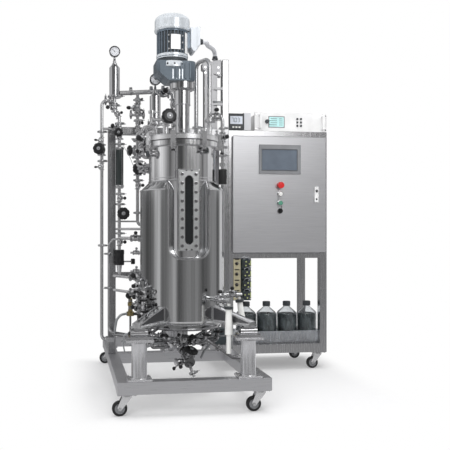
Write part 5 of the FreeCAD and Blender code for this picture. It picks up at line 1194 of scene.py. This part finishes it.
def make_rear_details():
    """Louvres, screws, cable glands, a fan guard and sockets on the cabinet's far sides."""
    back, side, rear = 798.4, 1000.9, 830.3
    panel = Piece(door_steel)
    for low in (850, 1340):
        for z in range(low, low + 98, 14):
            panel.box((713, back, z), (200, 4, 6), 1.5)
            panel.box((side, 676, z), (4, 130, 6), 1.5)
    panel.use(turned_steel)
    for spot in grid((440, 712, 985), (back - 0.3,), (766, 1484)):
        panel.bolt(spot, Y, 4, 3)
    panel.use(dark_plastic)
    for x in (560, 620, 680, 740, 800):
        panel.lathe([(14, 0), (16, 1), (16, 9), (12.5, 10), (12.5, 17), (9, 20), (0, 20)],
                    (x, 742, 750.2), -Z, 12)
    vent = Vector((650, rear, 1592))
    for radius in (12, 22, 32):
        panel.ring(radius, 1.6, vent, Y, 36, 6)
    for turn in range(0, 180, 45):
        reach = Vector((cos(radians(turn)), 0, sin(radians(turn))))
        panel.rod(1.4, vent - reach * 33, reach, 66, 6, 0)
    panel.box((960, rear, 1570), (48, 6, 30), 2)
    panel.box((880, rear, 1612), (70, 6, 22), 2)
    panel.use(turned_steel)
    for x in (760, 796):
        panel.lathe([(8, 0), (8, 4), (5, 5), (5, 12), (0, 12)], (x, rear - 0.3, 1566), Y, 16)
    for spot in grid((572, 1036), (rear - 0.3,), (1542, 1642)):
        panel.bolt(spot, Y, 3.2, 3)
    panel.done("rear_details", slot="brushed_stainless")


# ---- make every piece

for make in (make_drive_details, make_gauges, make_handwheel_details, make_instruments,
             make_door_details, make_casters, make_vessel_details, make_support_details,
             make_clamps, make_bottles, make_tray_details, make_pumps, make_valves,
             make_pipe_fittings, make_dark_casings, make_relief_valve, make_second_drain_wheel,
             make_bottom_details, make_glass_details, make_hoist_details, make_bracket_details,
             make_rear_details):
    make()


# ---- studio

# Brightness around the machine by turn: 0 is straight behind it, 0.25 its left side, 0.5 in
# front, 0.75 its right side.  The low ring meets the reflected rays that run downwards, level or
# up to four degrees upwards; the high ring meets those that rise more steeply.
LOW_RING = (
    (0.0, 0.38), (0.03, 0.28), (0.054, 0.20), (0.119, 0.17), (0.164, 0.08), (0.201, 0.10),
    (0.234, 0.16), (0.262, 0.38), (0.290, 0.58), (0.318, 0.13), (0.344, 0.17), (0.368, 0.20),
    (0.392, 0.30), (0.416, 0.44), (0.439, 0.12), (0.462, 0.07), (0.485, 0.17), (0.508, 0.21),
    (0.531, 0.24), (0.555, 0.20), (0.579, 0.26), (0.603, 0.18), (0.629, 0.08), (0.656, 0.11),
    (0.684, 0.16), (0.714, 0.27), (0.748, 0.26), (0.786, 0.08), (0.834, 0.72), (0.890, 0.80),
    (0.94, 0.20), (0.97, 0.32))
HIGH_RING = (
    (0.0, 0.12), (0.05, 0.16), (0.099, 0.36), (0.142, 0.66), (0.176, 0.34), (0.207, 0.42),
    (0.238, 0.72), (0.262, 0.80), (0.284, 0.60), (0.307, 0.46), (0.335, 0.24), (0.36, 0.08),
    (0.38, 0.20), (0.405, 0.28), (0.43, 0.07), (0.458, 0.06), (0.486, 0.10), (0.508, 0.21),
    (0.531, 0.24), (0.555, 0.20), (0.579, 0.26), (0.603, 0.34), (0.631, 0.42), (0.656, 0.26),
    (0.679, 0.10), (0.702, 0.36), (0.729, 0.24), (0.762, 0.60), (0.834, 0.54), (0.880, 0.12),
    (0.94, 0.10))


def make_world():
    """An even white studio: soft strips of light and darker gaps around, seen in the steel."""
    world = bpy.data.worlds.new("studio")
    bpy.context.scene.world = world
    world.use_nodes = True
    tree = world.node_tree
    tree.nodes.clear()

    def add(kind, *sources, **settings):
        return wired(tree, kind, *sources, **settings)

    def tone(level):
        return level, level, level * 1.01, 1

    def strips(stops):
        ring = add("ValToRGB", turn)
        ring.color_ramp.interpolation = "EASE"
        elements = ring.color_ramp.elements
        while len(elements) < len(stops):
            elements.new(1.0)
        for element, (position, level) in zip(elements, stops):
            element.position, element.color = position, tone(level)
        return ring.outputs["Color"]

    place = add("TexCoord").outputs["Generated"]
    direction = add("SeparateXYZ", place).outputs
    angle = add("Math", direction["X"], direction["Y"], operation="ARCTAN2").outputs[0]
    minus = add("Math", angle, -1.0, operation="MULTIPLY").outputs[0]
    part = add("Math", minus, tau, operation="DIVIDE").outputs[0]
    turn = add("Math", part, operation="FRACT").outputs[0]
    seen = strips(LOW_RING)
    # between which heights of a ray's direction the next brightness takes over from the last
    for start, end, above in ((0.066, 0.078, strips(HIGH_RING)), (0.28, 0.55, tone(0.66)),
                              (0.62, 0.85, tone(0.20)), (-0.17, -0.27, tone(0.58)),
                              (-0.42, -0.62, tone(0.16))):
        reach = add("MapRange", direction["Z"], start, end, interpolation_type="SMOOTHSTEP")
        seen = mix_colours(tree, reach.outputs["Result"], seen, above)
    light = add("Background", seen, 1.0).outputs[0]
    white = add("Background", (1, 1, 1, 1)).outputs[0]
    camera_ray = add("LightPath").outputs["Is Camera Ray"]
    add("OutputWorld", add("MixShader", camera_ray, light, white).outputs[0])


def area_light(name, location, target, size, power, glossy=True):
    data = bpy.data.lights.new(name, "AREA")
    data.shape = "RECTANGLE"
    data.size, data.size_y = size
    data.energy = power
    light = put(name, data)
    light.location = location
    light.visible_glossy = glossy
    light.rotation_euler = (Vector(target) - Vector(location)).to_track_quat("-Z", "Y").to_euler()


def make_floor():
    """A pale seamless floor."""
    mesh = bpy.data.meshes.new("floor")
    shape = bmesh.new()
    bmesh.ops.create_grid(shape, x_segments=1, y_segments=1, size=30)
    shape.to_mesh(mesh)
    shape.free()
    floor = put("floor", mesh)
    finish = Finish("floor_finish", (0.93, 0.93, 0.935), 0.7)
    finish.shade(finish.noise(1.5), 0.985, 1.0)
    # a step outside the machine's footprint the floor turns evenly white, without a horizon
    out = finish.place
    for operation, *vector in (("ABSOLUTE",), ("SUBTRACT", (0.76, 0.67, 0)), ("MAXIMUM", (0, 0, 0)),
                               ("LENGTH",)):
        out = finish.add("VectorMath", out, *vector, operation=operation).outputs[
            "Value" if operation == "LENGTH" else "Vector"]
    far = finish.add("MapRange", out, -0.10, 0.20, interpolation_type="SMOOTHSTEP")
    white = finish.add("Emission", (1, 1, 1, 1))
    blend = finish.add("MixShader", far.outputs["Result"], finish.shader.outputs[0],
                       white.outputs[0])
    finish.link(blend.outputs[0], finish.tree.nodes["Material Output"].inputs["Surface"])
    mesh.materials.append(finish.material)
    floor.visible_glossy = False


make_world()
make_floor()
area_light("key", (-2.4, -3.6, 3.6), (0, 0, 0.9), (2.2, 2.2), 90, glossy=False)
area_light("top", (0.2, -0.4, 4.2), (0, 0, 0), (3.4, 3.4), 120, glossy=False)
area_light("door_fill", (0.95, -3.6, 2.6), (0.4, 0.2, 1.2), (1.6, 1.2), 20)
bpy.context.scene.view_settings.view_transform = "Standard"
